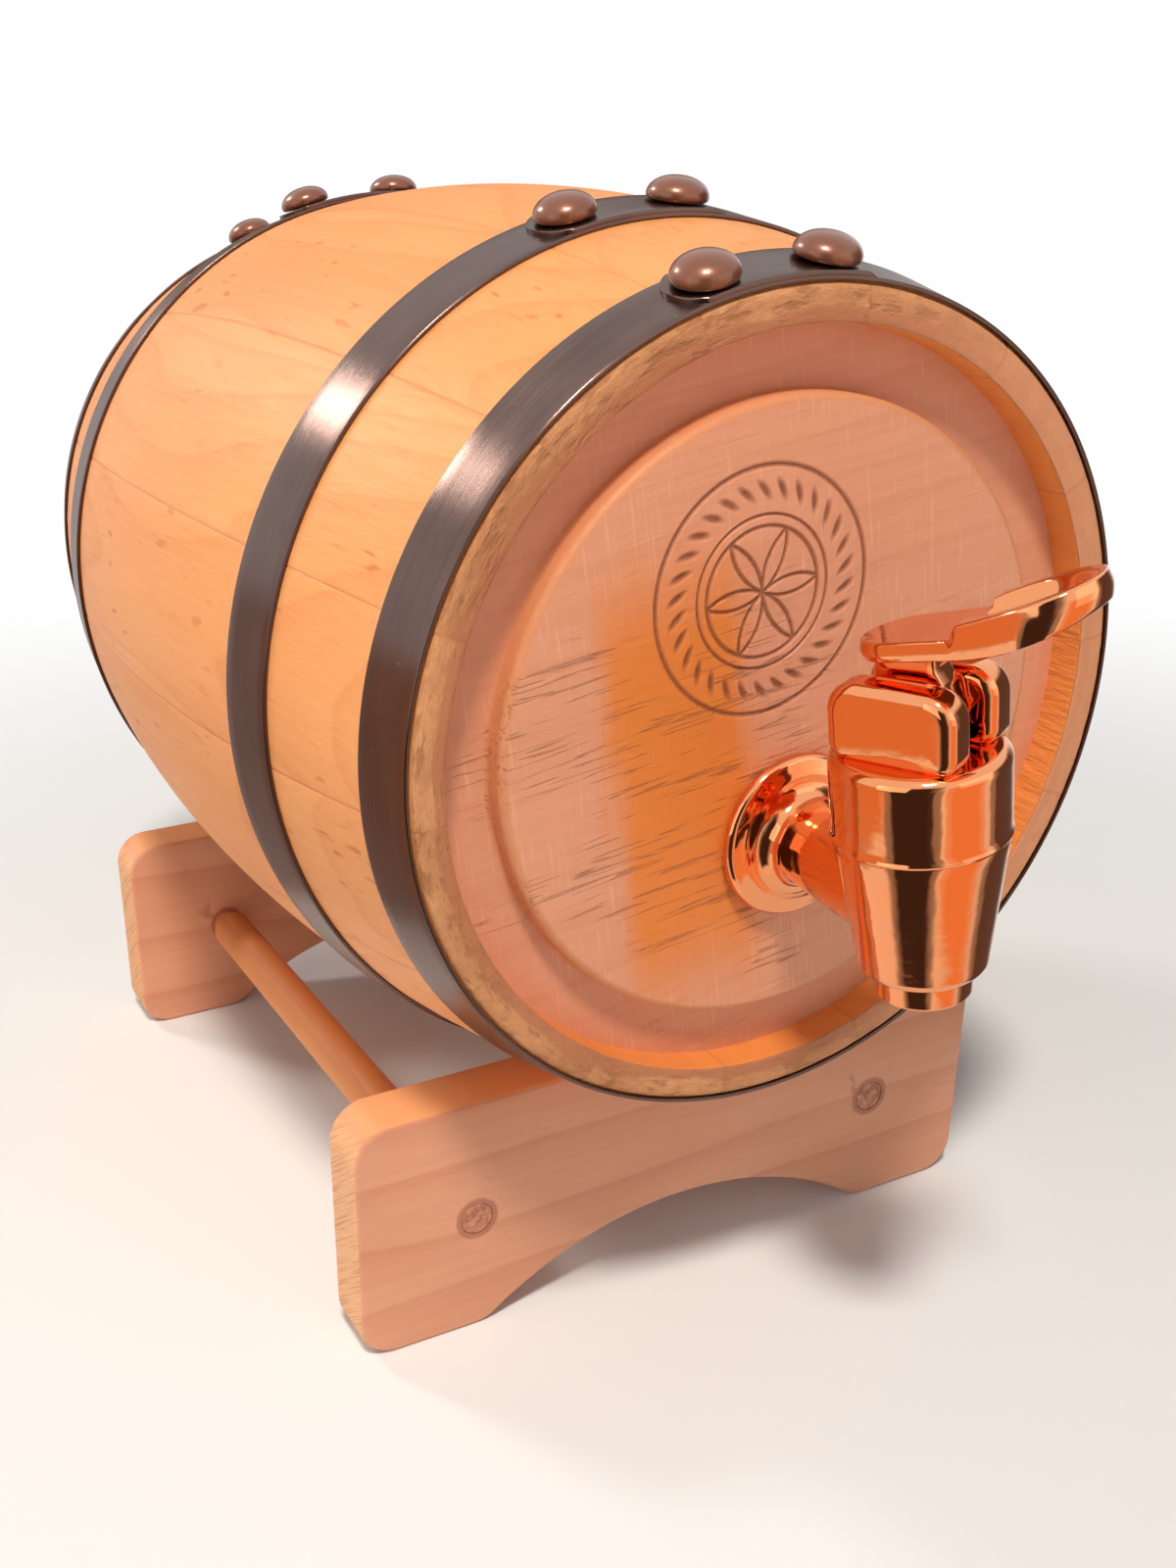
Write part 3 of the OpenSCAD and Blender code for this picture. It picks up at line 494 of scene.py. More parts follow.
def stave_wood():
    """Sanded and waxed outside. The cut chime is darker and torn at the left, smooth at the
    right, and the turned wall of the recess carries ripples from the tool under a painted
    orange of warm bounce light."""
    material, tree = new_material("stave wood")
    grain = attribute(tree, "grain", "Vector")
    wood = wood_of(
        tree,
        grain,
        (0.885, 0.385, 0.14, 1),
        (0.71, 0.24, 0.065, 1),
        (0.52, 0.13, 0.025, 1),
        0.0052,
        (0.34, 0.42, 0.6, 0.75),
    )
    cut = attribute(tree, "cut", "Fac")
    flat_end = step_up(tree, cut, 0.62, 0.85)
    wall = minus(tree, step_up(tree, cut, 0.45, 0.58), flat_end)
    place = object_place(tree)
    aside = parts_of(tree, place)[0]
    smooth = step_up(tree, aside, 0.0, 0.05)
    torn = noise(tree, grain, (700, 900, 2600), 4.0, 0.7)
    scar = noise(tree, grain, (150, 240, 420), 3.0, 0.6)
    scar = step_up(tree, scar, 0.50, 0.66)
    worn = noise(tree, grain, (55, 40, 90), 3.0, 0.6)
    torn = plus(tree, torn, times_plus(tree, worn, 1.5, -0.75))
    end = mixed(tree, torn, (0.32, 0.11, 0.042, 1), (0.76, 0.37, 0.165, 1))
    end = mixed(tree, times(tree, scar, 0.6), end, (0.26, 0.08, 0.03, 1))
    reach = times_plus(tree, worn, 0.004, attribute(tree, "reach", "Fac"))
    inner = step_up(tree, reach, recess_r + 5 * mm, recess_r + 4 * mm)
    end = mixed(tree, times(tree, inner, 0.8), end, (0.43, 0.15, 0.072, 1))
    end = mixed(tree, times(tree, smooth, 0.75), end, (0.68, 0.29, 0.155, 1))
    colour = mixed(tree, times(tree, flat_end, 0.9), wood["Color"], end)
    # painted light: warm bounce light is painted as an orange tint over the whole recess wall
    colour = mixed(tree, times(tree, wall, 0.7), colour, (0.78, 0.25, 0.045, 1))
    hairline = times(tree, attribute(tree, "joint", "Fac"), 0.28)
    colour = mixed(tree, hairline, colour, (0.30, 0.085, 0.025, 1))
    ripple = noise(tree, grain, (800, 130, 130), 2.0)
    ripple = times(tree, times(tree, ripple, wall), smooth)
    rugged = minus(tree, 1.0, times(tree, smooth, 0.75))
    scarred = times(tree, plus(tree, torn, scar), flat_end)
    scarred = times(tree, scarred, times(tree, rugged, 1.4))
    height = minus(tree, wood["Height"], scarred)
    height = times_plus(tree, ripple, 6.0, height)
    rough = times_plus(tree, cut, 0.25, wood["Roughness"])
    surface(tree, colour, rough, bump(tree, height, 0.00012), {"Specular IOR Level": 0.35})
    return material


stave_material = stave_wood()
section = stave_section()
bent_stave = stave_tree()
chance = np.random.RandomState(11)
for number in range(1, stave_count + 1):
    offset = chance.uniform((-0.02, -0.3, -0.05), (0.02, 0.3, -0.02))
    stave = grow(
        f"stave_{number:02d}",
        bent_stave,
        {
            "Section": section,
            "Steps": 25,
            "Start": seam + (number - 1.5) * stave_sweep,
            "Sweep": stave_sweep,
            "Arris Depth": 0.13 * mm,
            "Arris Width": 0.5 * mm,
            "Chime Roughness": 0.45 * mm,
            "Board Offset": tuple(float(value) for value in offset),
            "Wood": stave_material,
        },
    )
    close_up(stave.data, cask_place, 40)
    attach(stave, "cask")
    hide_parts(f"stave_{number}")
bpy.data.objects.remove(section)

# ---------------------------------------------------------------- heads
# Two discs of the same wood that sit in the staves' grooves. The front one keeps a raised
# panel with a rounded edge, drilled for the tap and engraved with a compass rosette; the
# rear one is flat and is drilled for the bung.
head_r = croze_r - 0.03 * mm
panel_y = 2.1 * mm
panel_r = 57 * mm
panel_round = 1.6 * mm
head_steps = 288
tap_drop = 21.8 * mm
tap_hole_r = 8.3 * mm
bung_up = 36 * mm
engraving = (-2.6 * mm, 25 * mm)
engraving_r = 23 * mm
engraving_depth = 0.35 * mm


def circle(centre, radius, steps):
    """Points of a circle."""
    turn = np.arange(steps) * 2 * math.pi / steps
    return np.stack([centre[0] + radius * np.cos(turn), centre[1] + radius * np.sin(turn)], 1)


def inside(loop, points):
    """Which points lie inside a loop."""
    ends = np.roll(loop, -1, 0)
    found = np.zeros(len(points), bool)
    for (x0, y0), (x1, y1) in zip(loop, ends):
        crosses = (y0 > points[:, 1]) != (y1 > points[:, 1])
        with np.errstate(divide="ignore", invalid="ignore"):
            reach = x0 + (points[:, 1] - y0) * (x1 - x0) / (y1 - y0)
        found ^= crosses & (points[:, 0] < reach)
    return found


def flat_fill(loops):
    """Triangles of a flat face between an outer loop and the holes in it. Indices count
    through the loops in order."""
    points, edges = [], []
    for loop in loops:
        first = len(points)
        points += [Vector((float(x), float(y))) for x, y in loop]
        edges += [(first + i, first + (i + 1) % len(loop)) for i in range(len(loop))]
    made = delaunay_2d_cdt(points, edges, [], 0, 1e-9)
    triangles = np.array([list(face) for face in made[2]])
    origin = np.array([source[0] if source else -1 for source in made[3]])
    corners = np.array([list(point) for point in made[0]])
    centres = corners[triangles].mean(1)
    keep = inside(np.asarray(loops[0]), centres)
    for hole in loops[1:]:
        keep &= ~inside(np.asarray(hole), centres)
    return origin[triangles[keep]]


class Shell:
    """Vertices and faces gathered loop by loop."""

    def __init__(self):
        self.points, self.faces = [], []

    def loop(self, points):
        """Adds points and returns their numbers."""
        first = len(self.points)
        self.points += [tuple(float(c) for c in point) for point in points]
        return np.arange(first, len(self.points))

    def strip(self, a, b):
        """Joins two closed loops of equal count."""
        for i in range(len(a)):
            j = (i + 1) % len(a)
            self.faces.append((a[i], a[j], b[j], b[i]))

    def skin(self, loops):
        """Joins closed loops in turn. A loop of one point becomes a tip."""
        for a, b in zip(loops, loops[1:]):
            if len(a) == len(b):
                self.strip(a, b)
            else:
                tip, ring = (a[0], b) if len(a) == 1 else (b[0], a)
                self.faces += [(tip, i, j) for i, j in zip(ring, np.roll(ring, -1))]

    def cap(self, loops):
        """Closes both ends of a row of loops."""
        self.faces += [tuple(loops[0][::-1]), tuple(loops[-1])]

    def flat_loop(self, points, y):
        """Adds (x, z) points at one distance along Y."""
        return self.loop([(x, y, z) for x, z in points])

    def fill(self, loops, flats):
        """Fills the flat face between loops, given their numbers and their flat points."""
        numbers = np.concatenate(loops)
        self.faces += [tuple(numbers[face]) for face in flat_fill(flats)]

    def mesh(self, name):
        """The gathered faces as a mesh."""
        made = bpy.data.meshes.new(name)
        made.from_pydata(self.points, [], [[int(i) for i in face] for face in self.faces])
        return made


def groove(distance, width):
    """Weight of a carved line at a distance from its middle."""
    near = np.clip(1 - np.abs(distance) / (width / 2), 0, 1)
    return near * (2 - near)


def rosette(x, z):
    """Weight of the engraving at a place measured from its centre: a six-petalled rosette
    struck with a compass, two rings, and a wreath of seeds between them."""
    reach = np.hypot(x, z)
    petal_r = 11.4 * mm
    weight = groove(reach - petal_r, 1.0 * mm)
    for turn in np.arange(6) * math.pi / 3:
        away = np.hypot(x - petal_r * np.cos(turn), z - petal_r * np.sin(turn))
        arc_line = groove(away - petal_r, 1.0 * mm)
        weight = np.maximum(weight, np.where(reach < petal_r, arc_line, 0))
    weight = np.maximum(weight, groove(reach - 13.4 * mm, 0.8 * mm))
    weight = np.maximum(weight, groove(reach - 21.6 * mm, 1.1 * mm))
    seeds, wreath_r = 30, 17.5 * mm
    share = np.arctan2(z, x) * seeds / (2 * math.pi)
    local = (share - np.round(share)) * 2 * math.pi / seeds * wreath_r
    up = reach - wreath_r
    tilt = math.radians(52)
    length = local * math.cos(tilt) + up * math.sin(tilt)
    width = -local * math.sin(tilt) + up * math.cos(tilt)
    seed = 1 - np.sqrt((length / (2.7 * mm)) ** 2 + (width / (0.85 * mm)) ** 2)
    return np.maximum(weight, np.clip(seed * 1.6, 0, 1))


def vertex_places(mesh):
    """Places of a mesh's vertices, one in each row."""
    return np.array([vertex.co[:] for vertex in mesh.vertices])


def front_head_mesh():
    """The front head, with its engraving as a dense patch in the panel's flat."""
    shell = Shell()
    edge = arc((panel_r - panel_round, panel_y + panel_round), panel_round, -90, 0, 8)
    fillet = 0.9 * mm
    edge += arc((panel_r + fillet, head_front - fillet), fillet, 180, 90, 5)
    edge += [(r, head_front) for r in np.linspace(panel_r + 3 * mm, head_r, 5)]
    edge += [(head_r, head_back)]
    rings = [shell.flat_loop(circle((0, 0), r, head_steps), y) for r, y in edge]
    shell.skin(rings)
    hole = circle((0, -tap_drop), tap_hole_r, 96)
    near, far = shell.flat_loop(hole, panel_y), shell.flat_loop(hole, head_back)
    shell.strip(far, near)
    shell.fill([rings[-1], far], [circle((0, 0), head_r, head_steps), hole])
    spokes, steps = 480, 100
    radii = np.linspace(0, engraving_r, steps + 1)[1:]
    patch = []
    for radius in radii:
        spots = circle((0, 0), radius, spokes)
        weight = rosette(spots[:, 0], spots[:, 1])
        patch.append(
            shell.loop(
                [
                    (engraving[0] + x, panel_y + engraving_depth * w, engraving[1] + z)
                    for (x, z), w in zip(spots, weight)
                ]
            )
        )
    shell.skin(patch)
    centre = shell.loop([(engraving[0], panel_y + engraving_depth, engraving[1])])[0]
    for i in range(spokes):
        shell.faces.append((centre, patch[0][i], patch[0][(i + 1) % spokes]))
    shell.fill(
        [rings[0], near, patch[-1]],
        [
            circle((0, 0), edge[0][0], head_steps),
            hole,
            circle(engraving, engraving_r, spokes),
        ],
    )
    mesh = shell.mesh("front_head")
    spots = vertex_places(mesh)
    weight = rosette(spots[:, 0] - engraving[0], spots[:, 2] - engraving[1])
    weight[spots[:, 1] > panel_y + engraving_depth + 1e-6] = 0
    write_numbers(mesh, "burn", weight)
    return mesh


def board_grain(mesh, along, across, offset):
    """Writes where each vertex lies in its board: along the grain on Y, across it on X."""
    spots = vertex_places(mesh)
    along, across = np.array(along, float), np.array(across, float)
    deep = np.cross(across, along)
    grain = np.stack([spots @ across, spots @ along, spots @ deep], 1) + np.array(offset)
    write_numbers(mesh, "grain", grain)


def head_wood():
    """Planed across the tap's side: fine saw lines cross a grain with many short wavy checks.
    The engraving is scorched, and a tall band left of the middle is stained orange."""
    material, tree = new_material("head wood")
    grain = attribute(tree, "grain", "Vector")
    wood = wood_of(
        tree,
        grain,
        (0.77, 0.345, 0.205, 1),
        (0.60, 0.23, 0.115, 1),
        (0.40, 0.13, 0.05, 1),
        0.006,
        (0.18, 0.45, 0.2, 0.5),
    )
    rise, aside = parts_of(tree, grain)[:2]
    saw = noise(tree, grain, (80, 1700, 80), 2.0)
    ridge = step_up(tree, saw, 0.58, 0.74)
    colour = mixed(tree, times(tree, ridge, 0.30), wood["Color"], (0.92, 0.50, 0.32, 1))
    wander = noise(tree, grain, (40, 170, 40), 4.0, 0.6)
    wander = times_plus(tree, wander, 0.009, -0.0045)
    side = calc(tree, "ABSOLUTE", plus(tree, plus(tree, aside, 0.0215), wander))
    tall = calc(tree, "ABSOLUTE", plus(tree, plus(tree, rise, 0.006), wander))
    stain = times(
        tree, step_up(tree, side, 0.0175, 0.0105), step_up(tree, tall, 0.050, 0.024)
    )
    colour = mixed(tree, times(tree, stain, 0.92), colour, (0.77, 0.215, 0.03, 1))
    line = noise(tree, grain, (540, 20, 540), 3.0, 0.55)
    line = calc(tree, "ABSOLUTE", minus(tree, line, 0.5))
    line = step_up(tree, line, 0.020, 0.004)
    gaps = noise(tree, grain, (900, 75, 900), 1.0)
    gaps = step_up(tree, gaps, 0.45, 0.56)
    across = calc(tree, "DIVIDE", plus(tree, aside, 0.024), 0.036)
    up = calc(tree, "DIVIDE", plus(tree, rise, 0.008), 0.033)
    reach = plus(tree, times(tree, across, across), times(tree, up, up))
    crowd = noise(tree, grain, (70, 45, 70), 1.0)
    crowd = times_plus(tree, reach, -0.16, crowd)
    check = times(tree, line, gaps)
    check = times(tree, check, step_up(tree, crowd, 0.26, 0.42))
    colour = mixed(tree, times(tree, check, 0.48), colour, (0.34, 0.115, 0.05, 1))
    # painted shade: a darker band over the panel's rounded edge and the crease at its foot
    off = flat_length(tree, rise, aside)
    brim = panel_r - panel_round
    edge = times(
        tree,
        step_up(tree, off, brim - 0.1 * mm, brim + 0.6 * mm),
        step_up(tree, off, panel_r + 0.9 * mm, panel_r + 0.2 * mm),
    )
    colour = mixed(tree, times(tree, edge, 0.55), colour, (0.62, 0.24, 0.085, 1))
    burn = attribute(tree, "burn", "Fac")
    singe = times_plus(tree, noise(tree, grain, (900,) * 3), 0.5, 0.6)
    colour = mixed(tree, times(tree, burn, singe), colour, (0.24, 0.07, 0.027, 1))
    height = times_plus(tree, saw, 0.55, wood["Height"])
    height = minus(tree, height, times(tree, check, 1.6))
    surface(
        tree,
        colour,
        wood["Roughness"],
        bump(tree, height, 0.00014),
        {"Specular IOR Level": 0.3},
    )
    return material


head_material = head_wood()
front_head = link("front_head_panel", front_head_mesh())
board_grain(front_head.data, (1, 0, 0), (0, 0, 1), (0, 0, 0.031))
front_head.data.materials.append(head_material)
close_up(front_head.data, cask_place, 25)
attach(front_head, "cask")
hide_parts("front_head")


def rear_head_mesh():
    """The rear head: a plain disc with a tapered hole for the bung."""
    shell = Shell()
    low, high = cask_length - head_back, cask_length - head_front
    ease = 0.3 * mm
    rim = [(head_r, low), (head_r, high - ease), (head_r - ease, high)]
    rings = [shell.flat_loop(circle((0, 0), r, head_steps), y) for r, y in rim]
    shell.skin(rings)
    hole_low = circle((0, bung_up), 10.25 * mm, 96)
    hole_high = circle((0, bung_up), 11.05 * mm, 96)
    near, far = shell.flat_loop(hole_low, low), shell.flat_loop(hole_high, high)
    shell.strip(near, far)
    shell.fill([rings[0], near], [circle((0, 0), head_r, head_steps), hole_low])
    shell.fill([rings[-1], far], [circle((0, 0), head_r - ease, head_steps), hole_high])
    return shell.mesh("rear_head")


rear_head = link("rear_head_disc", rear_head_mesh())
board_grain(rear_head.data, (1, 0, 0), (0, 0, 1), (0.05, 0.2, -0.19))
rear_head.data.materials.append(head_material)
close_up(rear_head.data, cask_place, 25)
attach(rear_head, "cask")
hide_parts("rear_head")

# ---------------------------------------------------------------- hoops
# Four straps of satin stainless steel, rolled to the taper of the staves. The ends of each
# overlap on top: the outer end is cut round, and the other steps down past the second rivet.
strap_t = 0.8 * mm
strap_gap = 0.08 * mm
rivet_gap = 23 * mm
lap_over = 6.8 * mm
lap_inset = 0.1 * mm
hoops = {
    "chime": (0.4 * mm, 12.2 * mm),
    "bilge": (42 * mm, 14.4 * mm),
}


def strap_loop(half, foot, top):
    """Section of a strap as rows of distance across it and height over the staves, with
    rounded edges."""
    ease = min(0.28 * mm, half * 0.9, (top - foot) * 0.45)
    rows = []
    for side, low, turn in ((1, False, 90), (1, True, 0), (-1, True, -90), (-1, False, 180)):
        height = foot + ease if low else top - ease
        rows += arc((side * (half - ease), height), ease, turn, turn - 90, 3)
    face = half - ease
    rows += [(-face * (1 - 2 * share), top) for share in (0.2, 0.4, 0.6, 0.8)]
    return rows


def strap_point(start, width, angle, across, height):
    """Place of a point of a strap that spans a width from its start: the angle from the top,
    the distance from its middle, and the height over the straight line between its edges."""
    low, high = float(outer_radius(start)), float(outer_radius(start + width))
    mid = start + width / 2
    r = low + (high - low) * (across / width + 0.5) + height
    return (r * math.sin(angle), mid + across, r * math.cos(angle))


def strap_mesh(name, start, width):
    """A full turn of strap, and the second layer over its lap."""
    shell = Shell()
    foot = strap_gap
    turns = 300

    def section(angle, half, low, high):
        rows = strap_loop(half, low, high)
        return shell.loop([strap_point(start, width, angle, a, h) for a, h in rows])

    loops = []
    for i in range(turns):
        angle = math.pi + i * 2 * math.pi / turns
        loops.append(section(angle, width / 2, foot, foot + strap_t))
    shell.skin(loops + loops[:1])
    r = float(outer_radius(start + width / 2))
    lap = rivet_gap + 2 * lap_over
    round_r = width / 2 + 0.6 * mm
    fade = 2.2 * mm
    reach = np.concatenate(
        [
            round_r * (1 - np.cos(np.linspace(0.12, math.pi / 2, 22))),
            np.linspace(round_r, lap - fade, 24)[1:],
            np.linspace(lap - fade, lap, 8)[1:],
        ]
    )
    loops = []
    for s in reach:
        half = width / 2 - lap_inset
        if s < round_r:
            half = min(half, math.sqrt(round_r**2 - (round_r - s) ** 2))
        fall = min(max((s - lap + fade) / fade, 0), 1)
        sink = fall * fall * (3 - 2 * fall) * (strap_t - 0.03 * mm)
        low = foot + strap_t / 2 - sink * 0.4
        angle = seam + (s - lap / 2) / r
        loops.append(section(angle, half, low, foot + 2 * strap_t - sink))
    shell.skin(loops)
    shell.cap(loops)
    mesh = shell.mesh(name)
    spots = vertex_places(mesh)
    angle = np.arctan2(spots[:, 0], spots[:, 2])
    brushed = np.stack([angle * r, spots[:, 1], np.hypot(spots[:, 0], spots[:, 2])], 1)
    write_numbers(mesh, "brushed", brushed)
    return mesh


def satin_steel():
    """Brushed along the strap, with a few short scuffs and a dull film. Its dark brown colour
    is painted reflection of dark surroundings.
    """
    material, tree = new_material("satin steel")
    brushed = attribute(tree, "brushed", "Vector")
    line = noise(tree, brushed, (22, 4200, 4200), 3.0, 0.6)
    film = noise(tree, brushed, (60, 90, 60), 3.0, 0.6)
    scuff = noise(tree, brushed, (900, 260, 900), 1.0)
    scuff = step_up(tree, scuff, 0.76, 0.86)
    # painted reflection: both tones are set dark brown to stand in for the dark room the steel
    # reflects
    colour = mixed(tree, film, (0.115, 0.073, 0.062, 1), (0.19, 0.125, 0.108, 1))
    colour = mixed(tree, times(tree, scuff, 0.4), colour, (0.42, 0.34, 0.30, 1))
    tone = times_plus(tree, line, 0.7, 0.65)
    colour = stretched(tree, colour, tone)
    rough = times_plus(tree, line, 0.12, 0.13)
    rough = plus(tree, rough, times(tree, film, 0.12))
    along = add(tree, "ShaderNodeTangent", direction_type="RADIAL", axis="Y")
    surface(
        tree,
        colour,
        rough,
        bump(tree, line, 0.00002),
        {
            "Metallic": 1.0,
            "Anisotropic": 0.8,
            "Anisotropic Rotation": 0.25,
            "Tangent": along,
        },
    )
    return material


steel_material = satin_steel()
to_front = Matrix.Translation((0, cask_length, 0)) @ Matrix.Scale(-1, 4, (0, 1, 0))
for kind, (start, width) in hoops.items():
    for end in ("front", "rear"):
        hoop = link(f"{end}_{kind}_strap", strap_mesh(f"{end}_{kind}_hoop", start, width))
        hoop.data.materials.append(steel_material)
        if end == "rear":
            hoop.data.transform(to_front)
        # the turn and its lap are two closed pieces of strap
        close_up(hoop.data, cask_place, 35)
        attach(hoop, "cask")
        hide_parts(f"{end}_{kind}_hoop")

# ---------------------------------------------------------------- rivets
# Two domed rivets hold each lap. They are pressed from steel and lacquered a glossy copper
# brown, and their shanks go through both layers of strap into the stave.
rivet_r = 5.8 * mm
rivet_h = 4.4 * mm


def in_mm(*rows):
    """Rows of numbers given in millimetres."""
    return [tuple(value * mm for value in row) for row in rows]


def lathe(profile, steps, name):
    """Turns rows of radius and height round Z. A row on the axis becomes a single point."""
    shell = Shell()
    rings = []
    for r, z in profile:
        if r < 1e-9:
            rings.append(shell.loop([(0, 0, z)]))
        else:
            rings.append(shell.loop([(x, y, z) for x, y in circle((0, 0), r, steps)]))
    shell.skin(rings + rings[:1] if len(rings[0]) > 1 else rings)
    return shell.mesh(name)


def rivet_head_mesh():
    """One rivet with its head's underside at height 0."""
    dome = [(0, rivet_h)]
    for turn in np.radians(np.linspace(8, 82, 11)):
        dome.append((rivet_r * math.sin(turn) ** 0.94, 0.9 * mm + 3.5 * mm * math.cos(turn)))
    dome += [(rivet_r, 0.95 * mm), (rivet_r - 0.12 * mm, 0.5 * mm)]
    dome += [(rivet_r - 0.5 * mm, 0.18 * mm), (rivet_r - 1.1 * mm, 0.05 * mm)]
    dome += in_mm((1.5, 0.05), (1.5, -5), (0, -5))
    return lathe(dome, 56, "rivet head")


def rivet_tree():
    """Sets two rivets square to the staves, either side of the middle of a lap."""
    tree, given = geometry_tree(
        "lap rivets",
        [
            ("Head", "Object"),
            ("Radius", "Float"),
            ("Along", "Float"),
            ("Seam", "Float"),
            ("Gap", "Float"),
            ("Slope", "Float"),
            ("Lift", "Float"),
            ("Lacquer", "Material"),
        ],
    )
    index = add(tree, "GeometryNodeInputIndex").outputs[0]
    side = times_plus(tree, index, 2.0, -1.0)
    swing = calc(tree, "DIVIDE", times(tree, given["Gap"], 0.5), given["Radius"])
    angle = times_plus(tree, side, swing, given["Seam"])
    lean = times(tree, calc(tree, "SINE", given["Slope"]), given["Lift"])
    out = times(tree, calc(tree, "COSINE", given["Slope"]), given["Lift"])
    out = plus(tree, out, given["Radius"])
    spot = vector_of(
        tree,
        times(tree, out, calc(tree, "SINE", angle)),
        minus(tree, given["Along"], lean),
        times(tree, out, calc(tree, "COSINE", angle)),
    )
    points = add(tree, "GeometryNodePoints", {"Count": 2, "Position": spot})
    turn = vector_of(tree, given["Slope"], angle)
    head = add(tree, "GeometryNodeObjectInfo", {"Object": given["Head"]})
    placed = add(
        tree,
        "GeometryNodeInstanceOnPoints",
        {"Points": points, "Instance": head.outputs["Geometry"], "Rotation": turn},
    )
    finish_tree(tree, placed, given["Lacquer"])
    return tree


def brown_lacquer():
    """Copper-brown lacquer with a slight orange peel."""
    material, tree = new_material("brown lacquer")
    place = object_place(tree)
    cloud = noise(tree, place, (260, 260, 260), 3.0)
    peel = noise(tree, place, (900, 900, 900), 2.0)
    colour = mixed(tree, cloud, (0.165, 0.050, 0.022, 1), (0.25, 0.083, 0.038, 1))
    surface(
        tree,
        colour,
        times_plus(tree, cloud, 0.15, 0.22),
        bump(tree, peel, 0.00003),
        {"Metallic": 0.35, "Coat Weight": 0.5, "Coat Roughness": 0.12},
    )
    return material


lacquer = brown_lacquer()
rivet_head = link("rivet head", rivet_head_mesh())
close_up(rivet_head.data, None, 50)
lap_rivets = rivet_tree()
for kind, (start, width) in hoops.items():
    for end in ("front", "rear"):
        along = start + width / 2
        if end == "rear":
            along = cask_length - along
        pair = grow(
            f"{end}_{kind}_rivet_pair",
            lap_rivets,
            {
                "Head": rivet_head,
                "Radius": float(outer_radius(along)),
                "Along": along,
                "Seam": seam,
                "Gap": rivet_gap,
                "Slope": math.asin((middle - along) / bow_r),
                "Lift": strap_gap + 2 * strap_t,
                "Lacquer": lacquer,
            },
        )
        close_up(pair.data, cask_place, 50)
        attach(pair, "cask")
        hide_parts(f"{end}_{kind}_rivets")
bpy.data.objects.remove(rivet_head)

# ---------------------------------------------------------------- bung
# A turned stopper of darker wood, pushed into the rear head by its tapered shank. The edge
# of its grip is eased by hand.
bung_rows = in_mm((0, 0), (9.9, 0), (10.2, 0.3), (10.98, 9.9), (10.2, 10), (10.2, 10.05))
bung_rows += in_mm((13.1, 10.05), (13.5, 10.4), (13.5, 14.3))
bung_rows += arc((12.0 * mm, 14.55 * mm), 1.5 * mm, 0, 90, 6)
bung_rows += in_mm((11, 15.95), (5, 15.75), (0, 15.7))


def bung_wood():
    """Plain turned wood."""
    material, tree = new_material("bung wood")
    grain = attribute(tree, "grain", "Vector")
    wood = wood_of(
        tree,
        grain,
        (0.58, 0.255, 0.10, 1),
        (0.39, 0.145, 0.05, 1),
        (0.25, 0.09, 0.03, 1),
        0.0026,
        (0.5, 0.5, 0.4, 0.4),
    )
    surface(tree, wood["Color"], wood["Roughness"], bump(tree, wood["Height"], 0.00014))
    return material


bung = link("turned_bung", lathe(bung_rows, 120, "bung"))
board_grain(bung.data, (1, 0, 0), (0, 1, 0), (0.01, 0, 0.03))
bung.data.materials.append(bung_wood())
bung_place = Matrix.Translation((0, cask_length - head_back, bung_up))
bung_place @= Matrix.Rotation(math.radians(-90), 4, "X")
close_up(bung.data, cask_place @ bung_place, 35)
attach(bung, "bung")
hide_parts("bung")

# ---------------------------------------------------------------- tap
# A brass casting under mirror-bright copper plating. The body, its neck, flange and threaded
# tail are one piece, and the bonnet with its two soft-edged ears is pressed into its top.
tap_front = 33.3 * mm
tap_place = cask_place @ Matrix.Translation((0, -tap_front, -tap_drop))
bonnet_turn = math.radians(20)
bonnet_place = tap_place @ Matrix.Rotation(bonnet_turn, 4, "Z")
body_up = 13.9 * mm
bonnet_top = 28.9 * mm
body_top_r = 14.1 * mm
foot_top = -9.5 * mm
foot_top_r = 10.8 * mm
chamber_r = 9 * mm
socket_r = 10.7 * mm
pivot_ahead = 4.5 * mm
pivot_up = 6.5 * mm
tap_steps = 192


def body_radius(z):
    """Radius of the body's cone at a height over the shank's axis."""
    return foot_top_r + (body_top_r - foot_top_r) * (z - foot_top) / (body_up - foot_top)


def boolean(mesh, other, operation):
    """Joins or cuts a mesh with another closed mesh."""
    first, second = link("first", mesh), link("second", other)
    modifier = first.modifiers.new("boolean", "BOOLEAN")
    modifier.object, modifier.operation, modifier.solver = second, operation, "MANIFOLD"
    depsgraph = bpy.context.evaluated_depsgraph_get()
    made = bpy.data.meshes.new_from_object(first.evaluated_get(depsgraph))
    made.materials.clear()
    for piece in (first, second):
        bpy.data.objects.remove(piece)
    return made


def outwards(mesh, place=None):
    """Turns the faces of a closed mesh outwards, so it can be joined or cut."""
    close_up(mesh, place, 180)
    return mesh


def body_mesh():
    """Outside of the tap's body, down to the spout."""
    foot_r = 2.1 * mm
    rows = [(0, -16.4 * mm), (5.6 * mm, -16.4 * mm)]
    rows += arc((7.5 * mm, -15.8 * mm), 0.6 * mm, -90, 0, 6)
    rows += [(8.35 * mm, foot_top - foot_r - 0.1 * mm), (8.45 * mm, foot_top - foot_r)]
    rows += arc((foot_top_r - foot_r, foot_top), foot_r, -70, -6, 10)
    for z in np.linspace(foot_top + 0.3 * mm, body_up - 0.25 * mm, 12):
        rows.append((body_radius(z), z))
    rows += [(body_top_r - 0.06 * mm, body_up - 0.07 * mm), (body_top_r - 0.25 * mm, body_up)]
    rows += [(0, body_up)]
    return outwards(lathe(rows, tap_steps, "body"))


